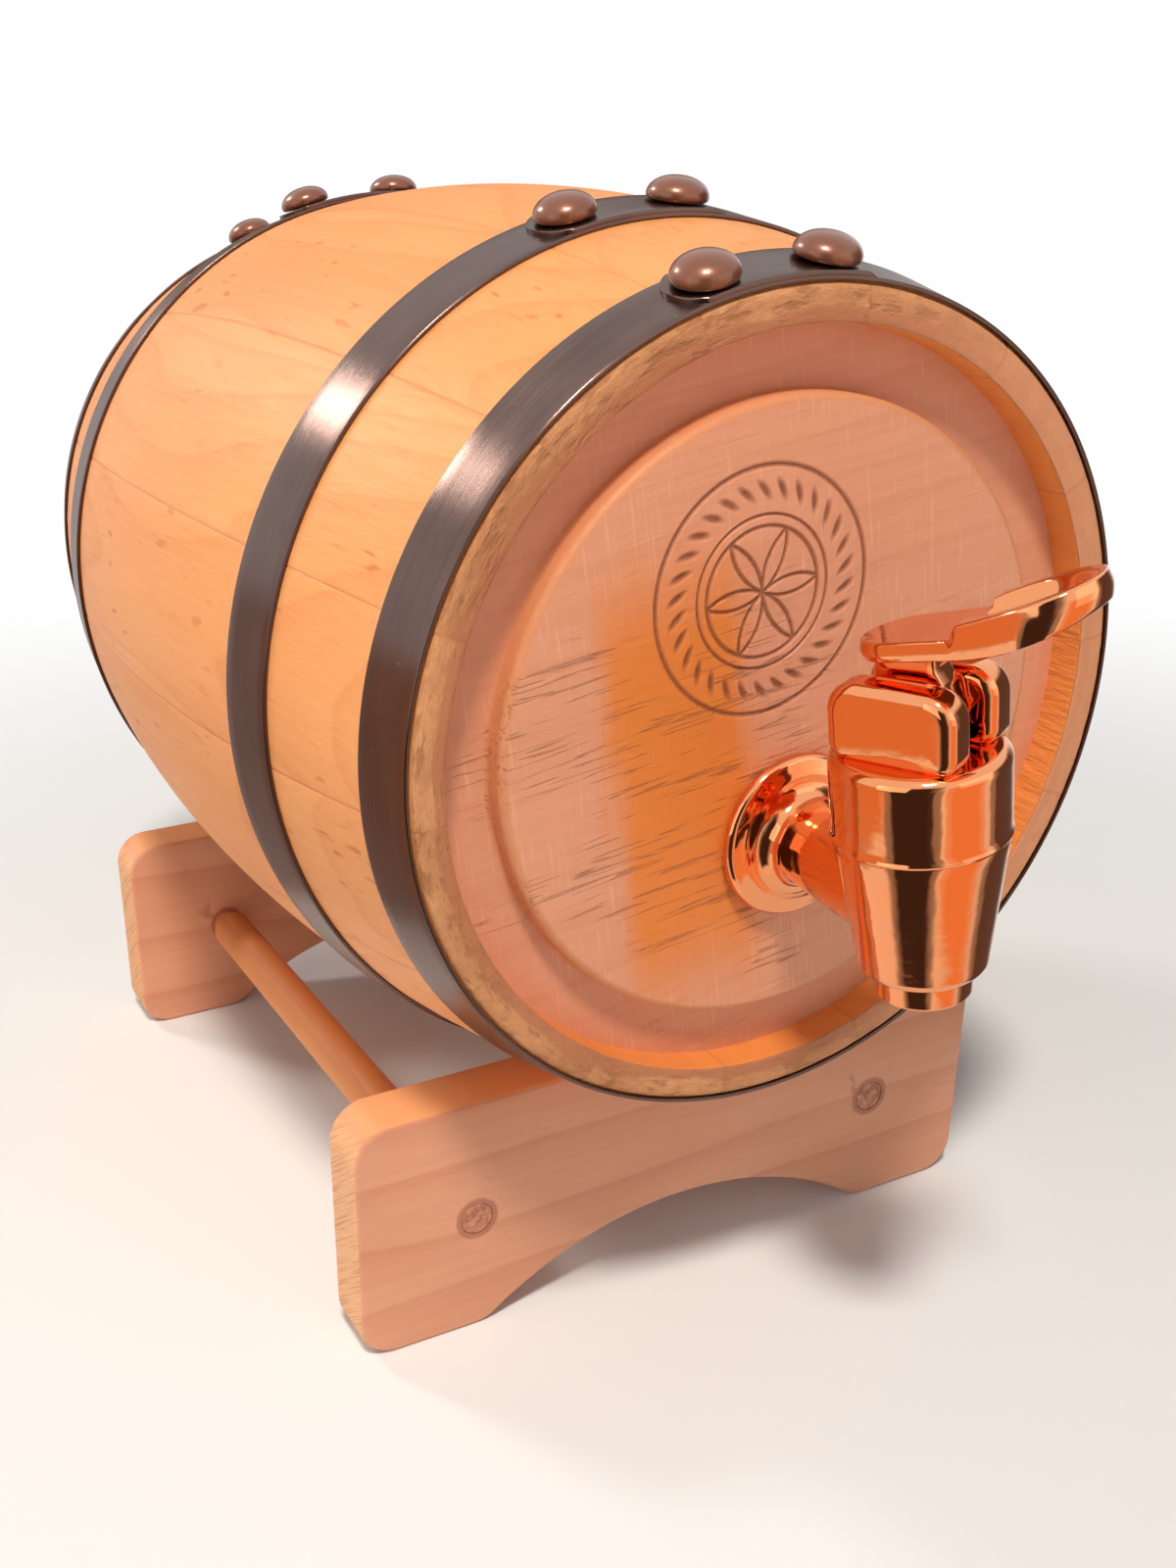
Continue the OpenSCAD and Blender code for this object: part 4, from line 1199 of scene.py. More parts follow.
def neck_rows():
    """Flange, neck and tail as rows of radius and distance behind the shank's root."""
    back = tap_front + 2.1 * mm - 0.3 * mm
    face = back - 2.8 * mm
    rows = [(0, tap_front + 32.1 * mm), (7.4 * mm, tap_front + 32.1 * mm)]
    rows += [(8 * mm, tap_front + 31.4 * mm)]
    thread = 1.5 * mm
    for turn in range(14):
        start = tap_front + 30.6 * mm - turn * thread
        rows += [(8 * mm, start), (7.45 * mm, start - thread / 2)]
    rows += [(8 * mm, back + 1.2 * mm), (8 * mm, back + 0.1 * mm), (14.4 * mm, back)]
    rows += arc((14.3 * mm, back - 1.4 * mm), 1.4 * mm, 84, -84, 14)
    rows += [(12.8 * mm, face - 0.35 * mm), (12.2 * mm, face - 0.6 * mm)]
    fillet = 3.6 * mm
    rows += arc((7.8 * mm + fillet, face - 0.6 * mm - fillet), fillet, 88, 180, 16)
    for y in np.linspace(face - 0.9 * mm - fillet, 14.6 * mm, 8):
        rows.append((neck_radius(y), y))
    return rows


def neck_radius(y):
    """The neck swells towards the body."""
    return 7.8 * mm + 1.4 * mm * max(0, (27 * mm - y) / (27 * mm - 12 * mm))


def neck_mesh():
    """Neck turned round the shank's axis, with a small fillet that follows the body's cone."""
    shell = Shell()
    steps = 128
    ease = 1.1 * mm
    rows = neck_rows()
    spokes = circle((0, 0), 1, steps)
    end = neck_radius(13.2 * mm)
    landings = []
    for cos, sin in spokes:
        reach = np.linspace(end, end + 3 * ease, 120)
        cone = body_radius(reach * sin)
        body_y = np.sqrt(np.maximum(cone**2 - (reach * cos) ** 2, 0))
        low, high = 8 * mm, 20 * mm
        for _ in range(30):
            centre = (low + high) / 2
            gap = np.hypot(reach - end - ease, body_y - centre).min()
            low, high = (centre, high) if gap < ease else (low, centre)
        nearest = np.argmin(np.hypot(reach - end - ease, body_y - centre))
        turn = math.atan2(body_y[nearest] - centre, reach[nearest] - end - ease)
        landings.append((centre, turn))
    rings = []
    for r, y in rows:
        if r < 1e-9:
            rings.append(shell.loop([(0, y, 0)]))
        else:
            rings.append(shell.loop([(r * c, y, r * s) for c, s in spokes]))
    for share in np.linspace(0, 0.86, 9):
        ring = []
        for (cos, sin), (centre, turn) in zip(spokes, landings):
            # the fillet's arc runs from the neck's side round to where it meets the body
            swing = math.pi + share * (turn % (2 * math.pi) - math.pi)
            r = end + ease + ease * math.cos(swing)
            ring.append((r * cos, centre + ease * math.sin(swing), r * sin))
        rings.append(shell.loop(ring))
    ring = []
    for (cos, sin), (centre, turn) in zip(spokes, landings):
        r = end + ease + (ease + 0.4 * mm) * math.cos(turn)
        ring.append((r * cos, centre + (ease + 0.4 * mm) * math.sin(turn), r * sin))
    rings.append(shell.loop(ring))
    rings.append(shell.loop([(6 * mm * c, 4 * mm, 6 * mm * s) for c, s in spokes]))
    rings.append(shell.loop([(0, 4 * mm, 0)]))
    shell.skin(rings)
    return outwards(shell.mesh("neck"))


def tap_body_mesh():
    """The whole casting, with its chamber, outlet, passage and the washer's seat."""
    made = boolean(body_mesh(), neck_mesh(), "UNION")
    bore = in_mm((0, -20), (5.5, -20), (5.5, -16.1), (5, -15.6), (5, -5.5))
    bore += [(chamber_r, -5.5 * mm), (chamber_r, 7 * mm)]
    bore += [(socket_r, 7 * mm), (socket_r, 13.1 * mm)]
    bore += in_mm((13.3, 13.1), (13.3, 20), (0, 20))
    made = boolean(made, outwards(lathe(bore, 128, "bore")), "DIFFERENCE")
    passage = lathe(in_mm((0, 0), (4, 0), (4, 80), (0, 80)), 64, "passage")
    aft = Matrix.Rotation(math.radians(-90), 4, "X")
    made = boolean(made, outwards(passage, aft), "DIFFERENCE")
    seat = in_mm((8, 33.9), (12.53, 33.9), (12.53, 37), (8, 37))
    return boolean(made, outwards(lathe(seat, 128, "seat"), aft), "DIFFERENCE")


def ear_mesh():
    """One ear: a block with round corners and soft edges, and cheeks that swell a little."""
    shell = Shell()
    length, height, edge = 22 * mm, 12.8 * mm, 2.2 * mm
    foot = 0.5 * mm
    half_t = 3.5 * mm
    shares = np.linspace(0, math.pi / 2, 9)
    insets = [(edge * (1 - math.cos(t)), half_t - edge * (1 - math.sin(t))) for t in shares]
    for inset in np.linspace(edge + 0.5 * mm, 6.0 * mm, 6):
        swell = 0.16 * mm * (1 - ((6.2 * mm - inset) / (4.0 * mm)) ** 2)
        insets.append((inset, half_t + swell))
    rows = [(d, -x) for d, x in insets[::-1]] + insets[1:]

    def outline(inset):
        w = length / 2 - inset
        low, high = bonnet_top - foot + inset, bonnet_top + height - inset
        top, low_r = max(5 * mm - inset, 0.2 * mm), max(3.2 * mm - inset, 0.2 * mm)
        points = arc((w - top, high - top), top, 0, 90, 14)
        points += arc((-w + top, high - top), top, 90, 180, 14)
        points += arc((-w + low_r, low + low_r), low_r, 180, 270, 10)
        points += arc((w - low_r, low + low_r), low_r, 270, 360, 10)
        return points

    middle_x = 2.9 * mm + half_t
    loops = [
        shell.loop([(middle_x + x, y, z) for y, z in outline(inset)]) for inset, x in rows
    ]
    shell.skin(loops)
    shell.cap(loops)
    return outwards(shell.mesh("ear"))


def tap_bonnet_mesh():
    """The bonnet: a hollow plug with a stepped foot, a guide for the stem, and its ears."""
    r, guide = 14.4 * mm, 2.05 * mm
    rows = [(8.4 * mm, 7.03 * mm), (socket_r - 0.03 * mm, 7.03 * mm)]
    rows += [(socket_r - 0.03 * mm, body_up)]
    rows += [(r - 0.5 * mm, body_up), (r - 0.15 * mm, body_up + 0.12 * mm)]
    rows += [(r, body_up + 0.5 * mm), (r - 0.12 * mm, body_up + 0.85 * mm)]
    rows += [(r - 0.2 * mm, body_up + 1.0 * mm)]
    rows += [(r - 0.2 * mm, z) for z in np.linspace(body_up + 2 * mm, bonnet_top - 3 * mm, 6)]
    rows += arc((r - 2.2 * mm, bonnet_top - 2 * mm), 2 * mm, 0, 90, 14)
    rows += [(8 * mm, bonnet_top), (guide + 0.4 * mm, bonnet_top)]
    rows += [(guide, bonnet_top - 0.4 * mm), (guide, 21.5 * mm), (3.5 * mm, 21.5 * mm)]
    rows += [(3.5 * mm, 19.5 * mm), (guide, 19.5 * mm), (guide, 17 * mm)]
    rows += in_mm((5, 17), (5, 24), (8.4, 24))
    made = outwards(lathe(rows, tap_steps, "bonnet"))
    ear = ear_mesh()
    other = ear.copy()
    other.transform(Matrix.Scale(-1, 4, (1, 0, 0)))
    made = boolean(made, ear, "UNION")
    made = boolean(made, outwards(other), "UNION")
    pin = lathe(in_mm((0, 0), (1.25, 0), (1.25, 16.6), (0, 16.6)), 48, "pin")
    turn = Matrix.Translation((-8.3 * mm, -pivot_ahead, bonnet_top + pivot_up))
    turn @= Matrix.Rotation(math.radians(90), 4, "Y")
    return boolean(made, outwards(pin, turn), "DIFFERENCE")


def copper_plate():
    """Mirror copper: a pink-orange metal with faint smears from handling and fine dust."""
    material, tree = new_material("copper plate")
    place = object_place(tree)
    smear = noise(tree, place, (120, 120, 170), 5.0, 0.6)
    smear = step_up(tree, smear, 0.45, 0.75)
    wave = noise(tree, place, (190, 190, 190), 2.0)
    dust = noise(tree, place, (4200, 4200, 4200), 1.0)
    dust = step_up(tree, dust, 0.74, 0.80)
    colour = mixed(tree, smear, (0.90, 0.33, 0.125, 1), (0.86, 0.345, 0.155, 1))
    rough = times_plus(tree, smear, 0.07, 0.06)
    rough = plus(tree, rough, times(tree, dust, 0.10))
    surface(
        tree,
        colour,
        rough,
        bump(tree, wave, 0.00010),
        {"Metallic": 1.0, "Coat Weight": 0.6, "Coat Roughness": 0.03},
    )
    return material


copper = copper_plate()
tap_body = link("tap_casting", tap_body_mesh())
tap_bonnet = link("tap_bonnet_eared", tap_bonnet_mesh())
for piece, node, place in (
    (tap_body, "tap_body", tap_place),
    (tap_bonnet, "tap_bonnet", bonnet_place),
):
    piece.data.materials.append(copper)
    close_up(piece.data, place, 32)
    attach(piece, "cask")
    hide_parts(node)

# ---------------------------------------------------------------- lever
# The lever is cast in one piece: an upright blade between the ears, with a fork that grips
# the stem, and a flat paddle over it that ends in a dished, upturned thumb rest.
lever_place = bonnet_place @ Matrix.Translation((0, -pivot_ahead, bonnet_top + pivot_up))
paddle_place = Matrix.Translation((0, pivot_ahead, 13.2 * mm))
paddle_place @= Matrix.Rotation(math.radians(-12), 4, "X")
paddle_rounds = {"back": (-2 * mm, 7 * mm), "front": (20.75 * mm, 9.25 * mm)}
paddle_t = 3.2 * mm
rest_start = 10 * mm
lever_t = 5.2 * mm


def paddle_outline(inset):
    """The paddle's outline from above as (ahead, aside), moved in by a distance."""
    (back, back_r), (front, front_r) = paddle_rounds["back"], paddle_rounds["front"]
    taper = math.degrees(math.asin((front_r - back_r) / (front - back)))
    back_r, front_r = back_r - inset, front_r - inset
    points = arc((front, 0), front_r, -90 - taper, 90 + taper, 72)
    tail = arc((back, 0), back_r, 90 + taper, 270 - taper, 56)
    a, b = np.array(points[-1]), np.array(tail[0])
    side = [tuple(a + (b - a) * share) for share in np.linspace(0, 1, 42)[1:-1]]
    back_side = [(x, -y) for x, y in side[::-1]]
    return points + side + tail + back_side


def paddle_top(ahead, aside):
    """Height of the paddle's upper face: flat at the back; in front, a rim that climbs from a
    step and a dish inside it that is open to the back."""
    lift = (ahead - rest_start) * math.tan(math.radians(10))
    rim = 2 * mm + lift
    climb = np.clip((ahead - rest_start + 0.5 * mm) / (1.6 * mm), 0, 1)
    climb = climb * climb * (3 - 2 * climb)
    rim = rim * climb
    away = np.hypot((ahead - 18.4 * mm) / (9.6 * mm), aside / (6.3 * mm))
    bowl = np.clip((1.12 - away) / 0.34, 0, 1)
    bowl = bowl * bowl * (3 - 2 * bowl)
    floor = -0.5 * mm * np.clip(1.0 - away, 0, 1) + lift * 0.62 * climb
    floor = np.minimum(floor, rim)
    return rim + (floor - rim) * bowl


def paddle_under(ahead):
    """Height of the lower face, which curls up towards the tip."""
    share = np.clip((ahead - rest_start) / (20 * mm), 0, 1)
    return -paddle_t + (paddle_t + 1.23 * mm) * share**2


def paddle_mesh():
    """Loops of the outline at growing insets, first along the top and then underneath."""
    shell = Shell()
    edge = 0.55 * mm
    top_insets = [edge * (1 - math.cos(t)) for t in np.linspace(0.0, math.pi / 2, 6)]
    top_insets += list(np.linspace(edge + 0.12 * mm, 6.9 * mm, 58))
    loops = []
    for face in ("top", "under"):
        for inset in top_insets if face == "top" else top_insets[::2]:
            points = np.array(paddle_outline(inset))
            ahead, aside = points[:, 0], points[:, 1]
            near = max(edge - inset, 0)
            drop = edge - math.sqrt(edge**2 - near**2)
            if face == "top":
                height = paddle_top(ahead, aside) - drop
            else:
                height = paddle_under(ahead) + drop
            loops.append((face, [(-y, -x, z) for (x, y), z in zip(points, height)]))
    tops = [shell.loop(points) for face, points in loops if face == "top"]
    unders = [shell.loop(points) for face, points in loops if face == "under"]
    # the side swells between its eased edges
    sides = []
    for share in (0.2, 0.4, 0.6, 0.8):
        points = np.array(paddle_outline(-0.28 * mm * math.sin(math.pi * share)))
        ahead, aside = points[:, 0], points[:, 1]
        low, high = paddle_under(ahead) + edge, paddle_top(ahead, aside) - edge
        height = high + (low - high) * share
        sides.append(shell.loop([(-y, -x, z) for (x, y), z in zip(points, height)]))
    chain = tops[::-1] + sides + unders
    shell.skin(chain)
    # the two sides of the innermost loops mirror each other about the tip
    count, tip = len(tops[0]), 36
    for ring in (chain[0], chain[-1]):
        for i in range(tip, tip + count // 2):
            corners = (i, i + 1, 2 * tip - i - 1, 2 * tip - i)
            face = tuple(dict.fromkeys(int(ring[corner % count]) for corner in corners))
            shell.faces.append(face)
    mesh = shell.mesh("paddle")
    mesh.transform(paddle_place)
    return outwards(mesh)


def side_prism(outline, thickness, ease, name):
    """A prism from an outline of (ahead, up), across the lever, with eased edges."""
    shell = Shell()
    loops = [
        shell.loop([(x, -ahead, up) for ahead, up in outline])
        for x in (-thickness / 2, thickness / 2)
    ]
    shell.strip(*loops)
    shell.cap(loops)
    mesh = shell.mesh(name)
    work = bmesh.new()
    work.from_mesh(mesh)
    if ease:
        bmesh.ops.bevel(
            work, geom=work.edges, offset=ease, segments=3, profile=0.5, affect="EDGES"
        )
    work.to_mesh(mesh)
    work.free()
    return outwards(mesh)


def lever_mesh():
    """The paddle, its blade, the pivot's boss and the fork, joined and drilled. The leg is cut
    back behind the boss, where the stem's head comes up when the lever is pressed."""
    across = Matrix.Rotation(math.radians(90), 4, "Y")
    blade = in_mm((-10.5, 10.4), (-10.5, 1.6), (-2.4, 0.9), (-2.2, -5.2), (1.6, -5.2))
    blade += in_mm((2.5, 0), (1.2, 5), (-0.3, 7.3), (-0.3, 12.6))
    made = side_prism(blade, lever_t, 0.45 * mm, "blade")
    made = boolean(made, paddle_mesh(), "UNION")
    boss = in_mm((0, -2.6), (2.3, -2.6), (2.6, -2.3), (2.6, 2.3), (2.3, 2.6), (0, 2.6))
    made = boolean(made, outwards(lathe(boss, 64, "boss"), across), "UNION")
    fork = in_mm((-7.6, -5.2), (0.8, -5.2), (0.8, -3.9), (-7.6, -3.9))
    made = boolean(made, side_prism(fork, lever_t, 0.2 * mm, "fork"), "UNION")
    slot = in_mm((-12, -8), (-0.9, -8), (-0.9, -3.4), (-12, -3.4))
    made = boolean(made, side_prism(slot, 2.5 * mm, 0, "slot"), "DIFFERENCE")
    relief = arc((0, 0), 2.2 * mm, 167, 227, 8)
    relief += in_mm((-1.5, -3.88), (-8.5, -3.88), (-8.5, 0.5))
    made = boolean(made, side_prism(relief, 8 * mm, 0, "relief"), "DIFFERENCE")
    hole = in_mm((0, -9), (1.3, -9), (1.3, 9), (0, 9))
    return boolean(made, outwards(lathe(hole, 48, "hole"), across), "DIFFERENCE")


lever = link("cast_lever", lever_mesh())
lever.data.materials.append(copper)
close_up(lever.data, lever_place, 32)
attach(lever, "lever")
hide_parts("lever")

# ---------------------------------------------------------------- valve spring
# A compression spring of drawn steel wire round the stem, inside the tap. It shortens when
# the valve lifts.
coil_foot, coil_top = -0.97 * mm, 16.5 * mm
coil_turns = 7
coil_r = 3.6 * mm
wire_r = 0.45 * mm


def spring_mesh():
    """Wire swept along the helix, with flat cut ends."""
    shell = Shell()
    steps = coil_turns * 40
    rings = []
    for i in range(steps + 1):
        turn = 2 * math.pi * coil_turns * i / steps
        height = coil_foot + (coil_top - coil_foot) * i / steps
        out = Vector((math.cos(turn), math.sin(turn), 0))
        along = Vector((-math.sin(turn), math.cos(turn), 0.11)).normalized()
        up = out.cross(along)
        centre = out * coil_r + Vector((0, 0, height))
        rings.append(
            shell.loop([centre + out * x + up * y for x, y in circle((0, 0), wire_r, 12)])
        )
    shell.skin(rings)
    shell.cap(rings)
    return shell.mesh("valve_spring")


def drawn_steel(name, tone, lines):
    """Bare steel with fine marks along one direction of the object's space."""
    material, tree = new_material(name)
    place = object_place(tree)
    line = noise(tree, place, lines, 3.0)
    cloud = noise(tree, place, (300, 300, 300), 2.0)
    dark = tuple(value * 0.7 for value in tone) + (1,)
    surface(
        tree,
        mixed(tree, cloud, dark, tone + (1,)),
        times_plus(tree, line, 0.2, 0.2),
        bump(tree, line, 0.00002),
        {"Metallic": 1.0},
    )
    return material


spring = link("coiled_spring", spring_mesh())
spring.data.materials.append(drawn_steel("spring steel", (0.55, 0.54, 0.52), (900, 900, 900)))
close_up(spring.data, tap_place, 60)
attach(spring, "cask")
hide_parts("valve_spring")
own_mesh(spring)

# ---------------------------------------------------------------- small fittings
# The turned stem and pin are bare steel; the washers, gasket, seal and plug are pressed from
# milky silicone, and the lock nut is moulded nylon. These are the CAD's own solids.


def soft_polymer(name, tone, gloss, cloudy):
    """Moulded polymer with a slight bloom, some light carried under its skin."""
    material, tree = new_material(name)
    place = object_place(tree)
    bloom = noise(tree, place, (cloudy,) * 3, 3.0)
    grit = noise(tree, place, (2600, 2600, 2600), 2.0)
    dull = tuple(value * 0.86 for value in tone) + (1,)
    surface(
        tree,
        mixed(tree, bloom, dull, tone + (1,)),
        times_plus(tree, bloom, 0.15, gloss),
        bump(tree, grit, 0.00002),
        {"Subsurface Weight": 0.2, "Subsurface Scale": 0.002},
    )
    return material


turned_steel = drawn_steel("turned steel", (0.62, 0.61, 0.59), (60, 60, 6000))
silicone = soft_polymer("silicone", (0.78, 0.78, 0.74), 0.45, 200)
nylon = soft_polymer("nylon", (0.72, 0.72, 0.68), 0.35, 120)
fittings = {
    turned_steel: ("valve_stem", "lever_pin"),
    silicone: ("valve_plug", "stem_seal", "bonnet_gasket", "outer_washer", "inner_washer"),
    nylon: ("lock_nut",),
}
for material, nodes in fittings.items():
    for node in nodes:
        piece = bpy.data.objects[node]
        piece.data.materials.clear()
        piece.data.materials.append(material)

# ---------------------------------------------------------------- cradle plates
# Two plates of sanded pine with a saddle for the cask and an arch between the feet. All
# their edges are rounded over, and the stretchers' tenons come through them.
plate_w = 154 * mm
plate_h = 54.4 * mm
plate_t = 13.2 * mm
plate_inset = 26.3 * mm
corner_r = 8 * mm
saddle_r = float(outer_radius(plate_inset + plate_t)) + 0.3 * mm
arch_r = 79 * mm
arch_rise = 16.5 * mm
edge_round = 1.1 * mm
stretcher_x = 50.4 * mm
stretcher_z = 26.9 * mm
tenon_r = 3.6 * mm
front_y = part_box("front_cradle")[0].y
rear_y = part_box("rear_cradle")[0].y


def plate_outline():
    """The plate's outline from the right foot anticlockwise, as (across, up)."""
    arch_z = arch_rise - arch_r
    foot_x = math.sqrt((arch_r + corner_r) ** 2 - (corner_r - arch_z) ** 2)
    lean = math.degrees(math.atan2(corner_r - arch_z, foot_x))
    saddle_x = math.sqrt(saddle_r**2 - (axis_h - plate_h) ** 2)
    saddle = math.degrees(math.asin(saddle_x / saddle_r))
    side = plate_w / 2 - corner_r
    points = [(x, 0) for x in np.linspace(foot_x + 1 * mm, side - 1 * mm, 6)]
    points += arc((side, corner_r), corner_r, -90, 0, 16)
    points += [(plate_w / 2, z) for z in np.linspace(corner_r, plate_h - corner_r, 12)[1:-1]]
    points += arc((side, plate_h - corner_r), corner_r, 0, 90, 16)
    points += [(x, plate_h) for x in np.linspace(side, saddle_x + 0.5 * mm, 16)[1:]]
    points += arc((0, axis_h), saddle_r, -90 + saddle, -90 - saddle, 40)
    points += [(-x, z) for x, z in points[-42::-1]]
    points += arc((-foot_x, corner_r), corner_r, -90, -lean, 12)
    points += arc((0, arch_z), arch_r, 180 - lean, lean, 60)[1:-1]
    points += arc((foot_x, corner_r), corner_r, 180 + lean, 270, 12)
    return np.array(points)


def moved_in(points, distance):
    """Points of a loop moved to its inner side, each square to the loop."""
    before, after = np.roll(points, 1, 0), np.roll(points, -1, 0)
    along = after - before
    along /= np.linalg.norm(along, axis=1)[:, None]
    return points + distance * np.stack([-along[:, 1], along[:, 0]], 1)


def plate_mesh(front_y):
    """The plate with its edges rounded over and its two tenon holes."""
    shell = Shell()
    outline = plate_outline()
    turn = np.linspace(0, math.pi / 2, 6)
    rows = [(edge_round * (1 - math.sin(t)), edge_round * (1 - math.cos(t))) for t in turn]
    rows += [(0, y) for y in np.linspace(edge_round, plate_t - edge_round, 6)[1:-1]]
    rows += [(inset, plate_t - y) for inset, y in rows[5::-1]]
    loops = []
    for inset, y in rows:
        flat = moved_in(outline, inset)
        loops.append((flat, shell.flat_loop(flat, front_y + y)))
    shell.skin([rim for _, rim in loops])
    hole_r = tenon_r + 0.05 * mm
    holes = [circle((side * stretcher_x, stretcher_z), hole_r, 64) for side in (-1, 1)]
    ends = []
    for (flat, rim), y in ((loops[0], 0), (loops[-1], plate_t)):
        rings = [shell.flat_loop(hole, front_y + y) for hole in holes]
        ends.append(rings)
        shell.fill([rim] + rings, [flat] + holes)
    for near, far in zip(*ends):
        shell.strip(near, far)
    return shell.mesh("plate")


def pine(name, ends):
    """Sanded pine: broad soft growth bands and pores of darker latewood. The plates have thin
    scorched rims and smudges round the tenons, whose own ends show dark end grain."""
    material, tree = new_material(name)
    grain = attribute(tree, "grain", "Vector")
    pale, dark = (0.80, 0.39, 0.24, 1), (0.57, 0.215, 0.11, 1)
    if not ends:
        pale, dark = (0.82, 0.33, 0.12, 1), (0.60, 0.20, 0.065, 1)
    wood = wood_of(
        tree,
        grain,
        pale,
        dark,
        (0.48, 0.16, 0.07, 1),
        0.0095,
        (0.40, 0.30, 0.12, 0.9),
    )
    colour = wood["Color"]
    place = object_place(tree)
    parts = parts_of(tree, place)
    speck = noise(tree, place, (700, 700, 700), 3.0, 0.6)
    if ends:
        aside = minus(tree, calc(tree, "ABSOLUTE", parts[0]), stretcher_x)
        rise = minus(tree, parts[2], stretcher_z)
        away = times_plus(tree, speck, 0.0008, flat_length(tree, aside, rise))
        rim = step_up(tree, away, 0.0056, 0.0048)
        blot = noise(tree, place, (260, 260, 200), 2.0)
        blot = step_up(tree, blot, 0.56, 0.68)
        blot = times(tree, blot, step_up(tree, away, 0.0120, 0.0070))
        blot = times(tree, blot, step_up(tree, rise, 0.000, 0.003))
        # painted light: faces that look upwards are tinted warm orange, as if lit from above
        facing = parts_of(tree, add(tree, "ShaderNodeTexCoord").outputs["Normal"])
        above = step_up(tree, facing[2], 0.6, 0.95)
        colour = mixed(tree, times(tree, above, 0.6), colour, (0.86, 0.40, 0.15, 1))
        # the short ends show sawn end grain lines, painted paler and yellower for the light
        # falling on them
        slant = times_plus(tree, parts[1], 0.8, parts[2])
        slant = vector_of(tree, slant, parts[1])
        slant = noise(tree, slant, (1500, 60, 1), 3.0, 0.6)
        lit_sawn_end = mixed(
            tree, step_up(tree, slant, 0.45, 0.68), (0.90, 0.50, 0.25, 1), (0.66, 0.28, 0.11, 1)
        )
        ended = step_up(tree, calc(tree, "ABSOLUTE", facing[0]), 0.6, 0.9)
        colour = mixed(tree, times(tree, ended, 0.8), colour, lit_sawn_end)
        colour = mixed(tree, times(tree, blot, 0.5), colour, (0.36, 0.12, 0.075, 1))
        colour = mixed(tree, times(tree, rim, 0.75), colour, (0.40, 0.14, 0.085, 1))
    else:
        half_len = (rear_y + plate_t - front_y) / 2
        off = minus(tree, parts[1], front_y + half_len)
        cut = calc(tree, "GREATER_THAN", calc(tree, "ABSOLUTE", off), half_len - 0.2 * mm)
        speck = step_up(tree, speck, 0.35, 0.65)
        end = mixed(tree, speck, (0.38, 0.135, 0.08, 1), (0.64, 0.28, 0.165, 1))
        colour = mixed(tree, cut, colour, end)
    surface(
        tree,
        colour,
        plus(tree, wood["Roughness"], 0.06),
        bump(tree, wood["Height"], 0.00008),
        {"Specular IOR Level": 0.3},
    )
    return material


plate_pine = pine("plate pine", True)
for node, y, pith in (
    ("front_cradle", front_y, (0.052, 0.11, 0.16)),
    ("rear_cradle", rear_y, (0.030, 0.47, -0.19)),
):
    plate = link(f"{node}_plate", plate_mesh(y))
    board_grain(plate.data, (1, 0, 0), (0, 0, 1), pith)
    plate.data.materials.append(plate_pine)
    close_up(plate.data, None, 35)
    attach(plate, "stand")
    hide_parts(node)

# ---------------------------------------------------------------- stretchers
# Two turned dowels join the plates. Each has round shoulders and a thin neck before its
# tenon, whose end is flush with the plate's outer face.
dowel_r = 5.2 * mm
neck_len = 1.8 * mm


def stretcher_rows():
    """Half the dowel as rows of radius and distance from the tenon's end."""
    shoulder = math.sqrt(dowel_r**2 - tenon_r**2)
    start = plate_t + neck_len + shoulder
    rows = [(0, 0), (tenon_r - 0.25 * mm, 0), (tenon_r, 0.25 * mm)]
    rows += [(tenon_r, plate_t), (tenon_r, plate_t + neck_len)]
    open_a = math.degrees(math.asin(tenon_r / dowel_r))
    for turn in np.radians(np.linspace(open_a, 90, 10)[1:]):
        rows.append((dowel_r * math.sin(turn), start - dowel_r * math.cos(turn)))
    return rows


span = cask_length - 2 * plate_inset
half_rows = stretcher_rows()
waist_start = half_rows[-1][1]
waist = [(dowel_r, y) for y in np.linspace(waist_start, span - waist_start, 12)[1:-1]]
dowel_rows = half_rows + waist + [(r, span - y) for r, y in half_rows[::-1]]
dowel_pine = pine("dowel pine", False)
for node, side, pith in (
    ("left_stretcher", -1, (0.021, 0.31, 0.004)),
    ("right_stretcher", 1, (0.006, 0.83, 0.026)),
):
    dowel = link(f"{node}_dowel", lathe(dowel_rows, 72, node))
    board_grain(dowel.data, (0, 0, 1), (1, 0, 0), pith)
    dowel.data.materials.append(dowel_pine)
    place = Matrix.Translation((side * stretcher_x, front_y, stretcher_z))
    close_up(dowel.data, place @ Matrix.Rotation(math.radians(-90), 4, "X"), 35)
    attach(dowel, "stand")
    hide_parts(node)

# ---------------------------------------------------------------- studio
# A plain pale floor, a small warm key lamp above and in front, two broad fills, a small lamp
# behind that picks out the hoops, screens that only reflections see, and the camera.


def seen_ray(tree):
    """1 on the rays of the eye, of reflections and of glass, and 0 on those of soft light."""
    ray = add(tree, "ShaderNodeLightPath").outputs
    seen = calc(tree, "MAXIMUM", ray["Is Camera Ray"], ray["Is Transmission Ray"])
    return calc(tree, "MAXIMUM", seen, ray["Is Glossy Ray"])


def floor_material():
    """Pale floor that keeps the shadow near the object. Far from it, it fades to white for the
    eye and for reflections."""
    material, tree = new_material("floor")
    place = object_place(tree)
    away = add(tree, "ShaderNodeVectorMath", {0: place}, operation="LENGTH").outputs["Value"]
    fade = times(tree, step_up(tree, away, 0.2, 0.62), seen_ray(tree))
    shade = add(tree, "ShaderNodeBsdfDiffuse", {"Color": (0.83, 0.865, 0.89, 1)})
    white = add(tree, "ShaderNodeEmission", {"Color": (1, 1, 1, 1), "Strength": 1.0})
    both = add(tree, "ShaderNodeMixShader", {0: fade, 1: shade, 2: white})
    add(tree, "ShaderNodeOutputMaterial", {0: both})
    return material


bpy.ops.mesh.primitive_plane_add(size=8)
floor = bpy.context.object
floor.name = "floor"
floor.data.materials.append(floor_material())

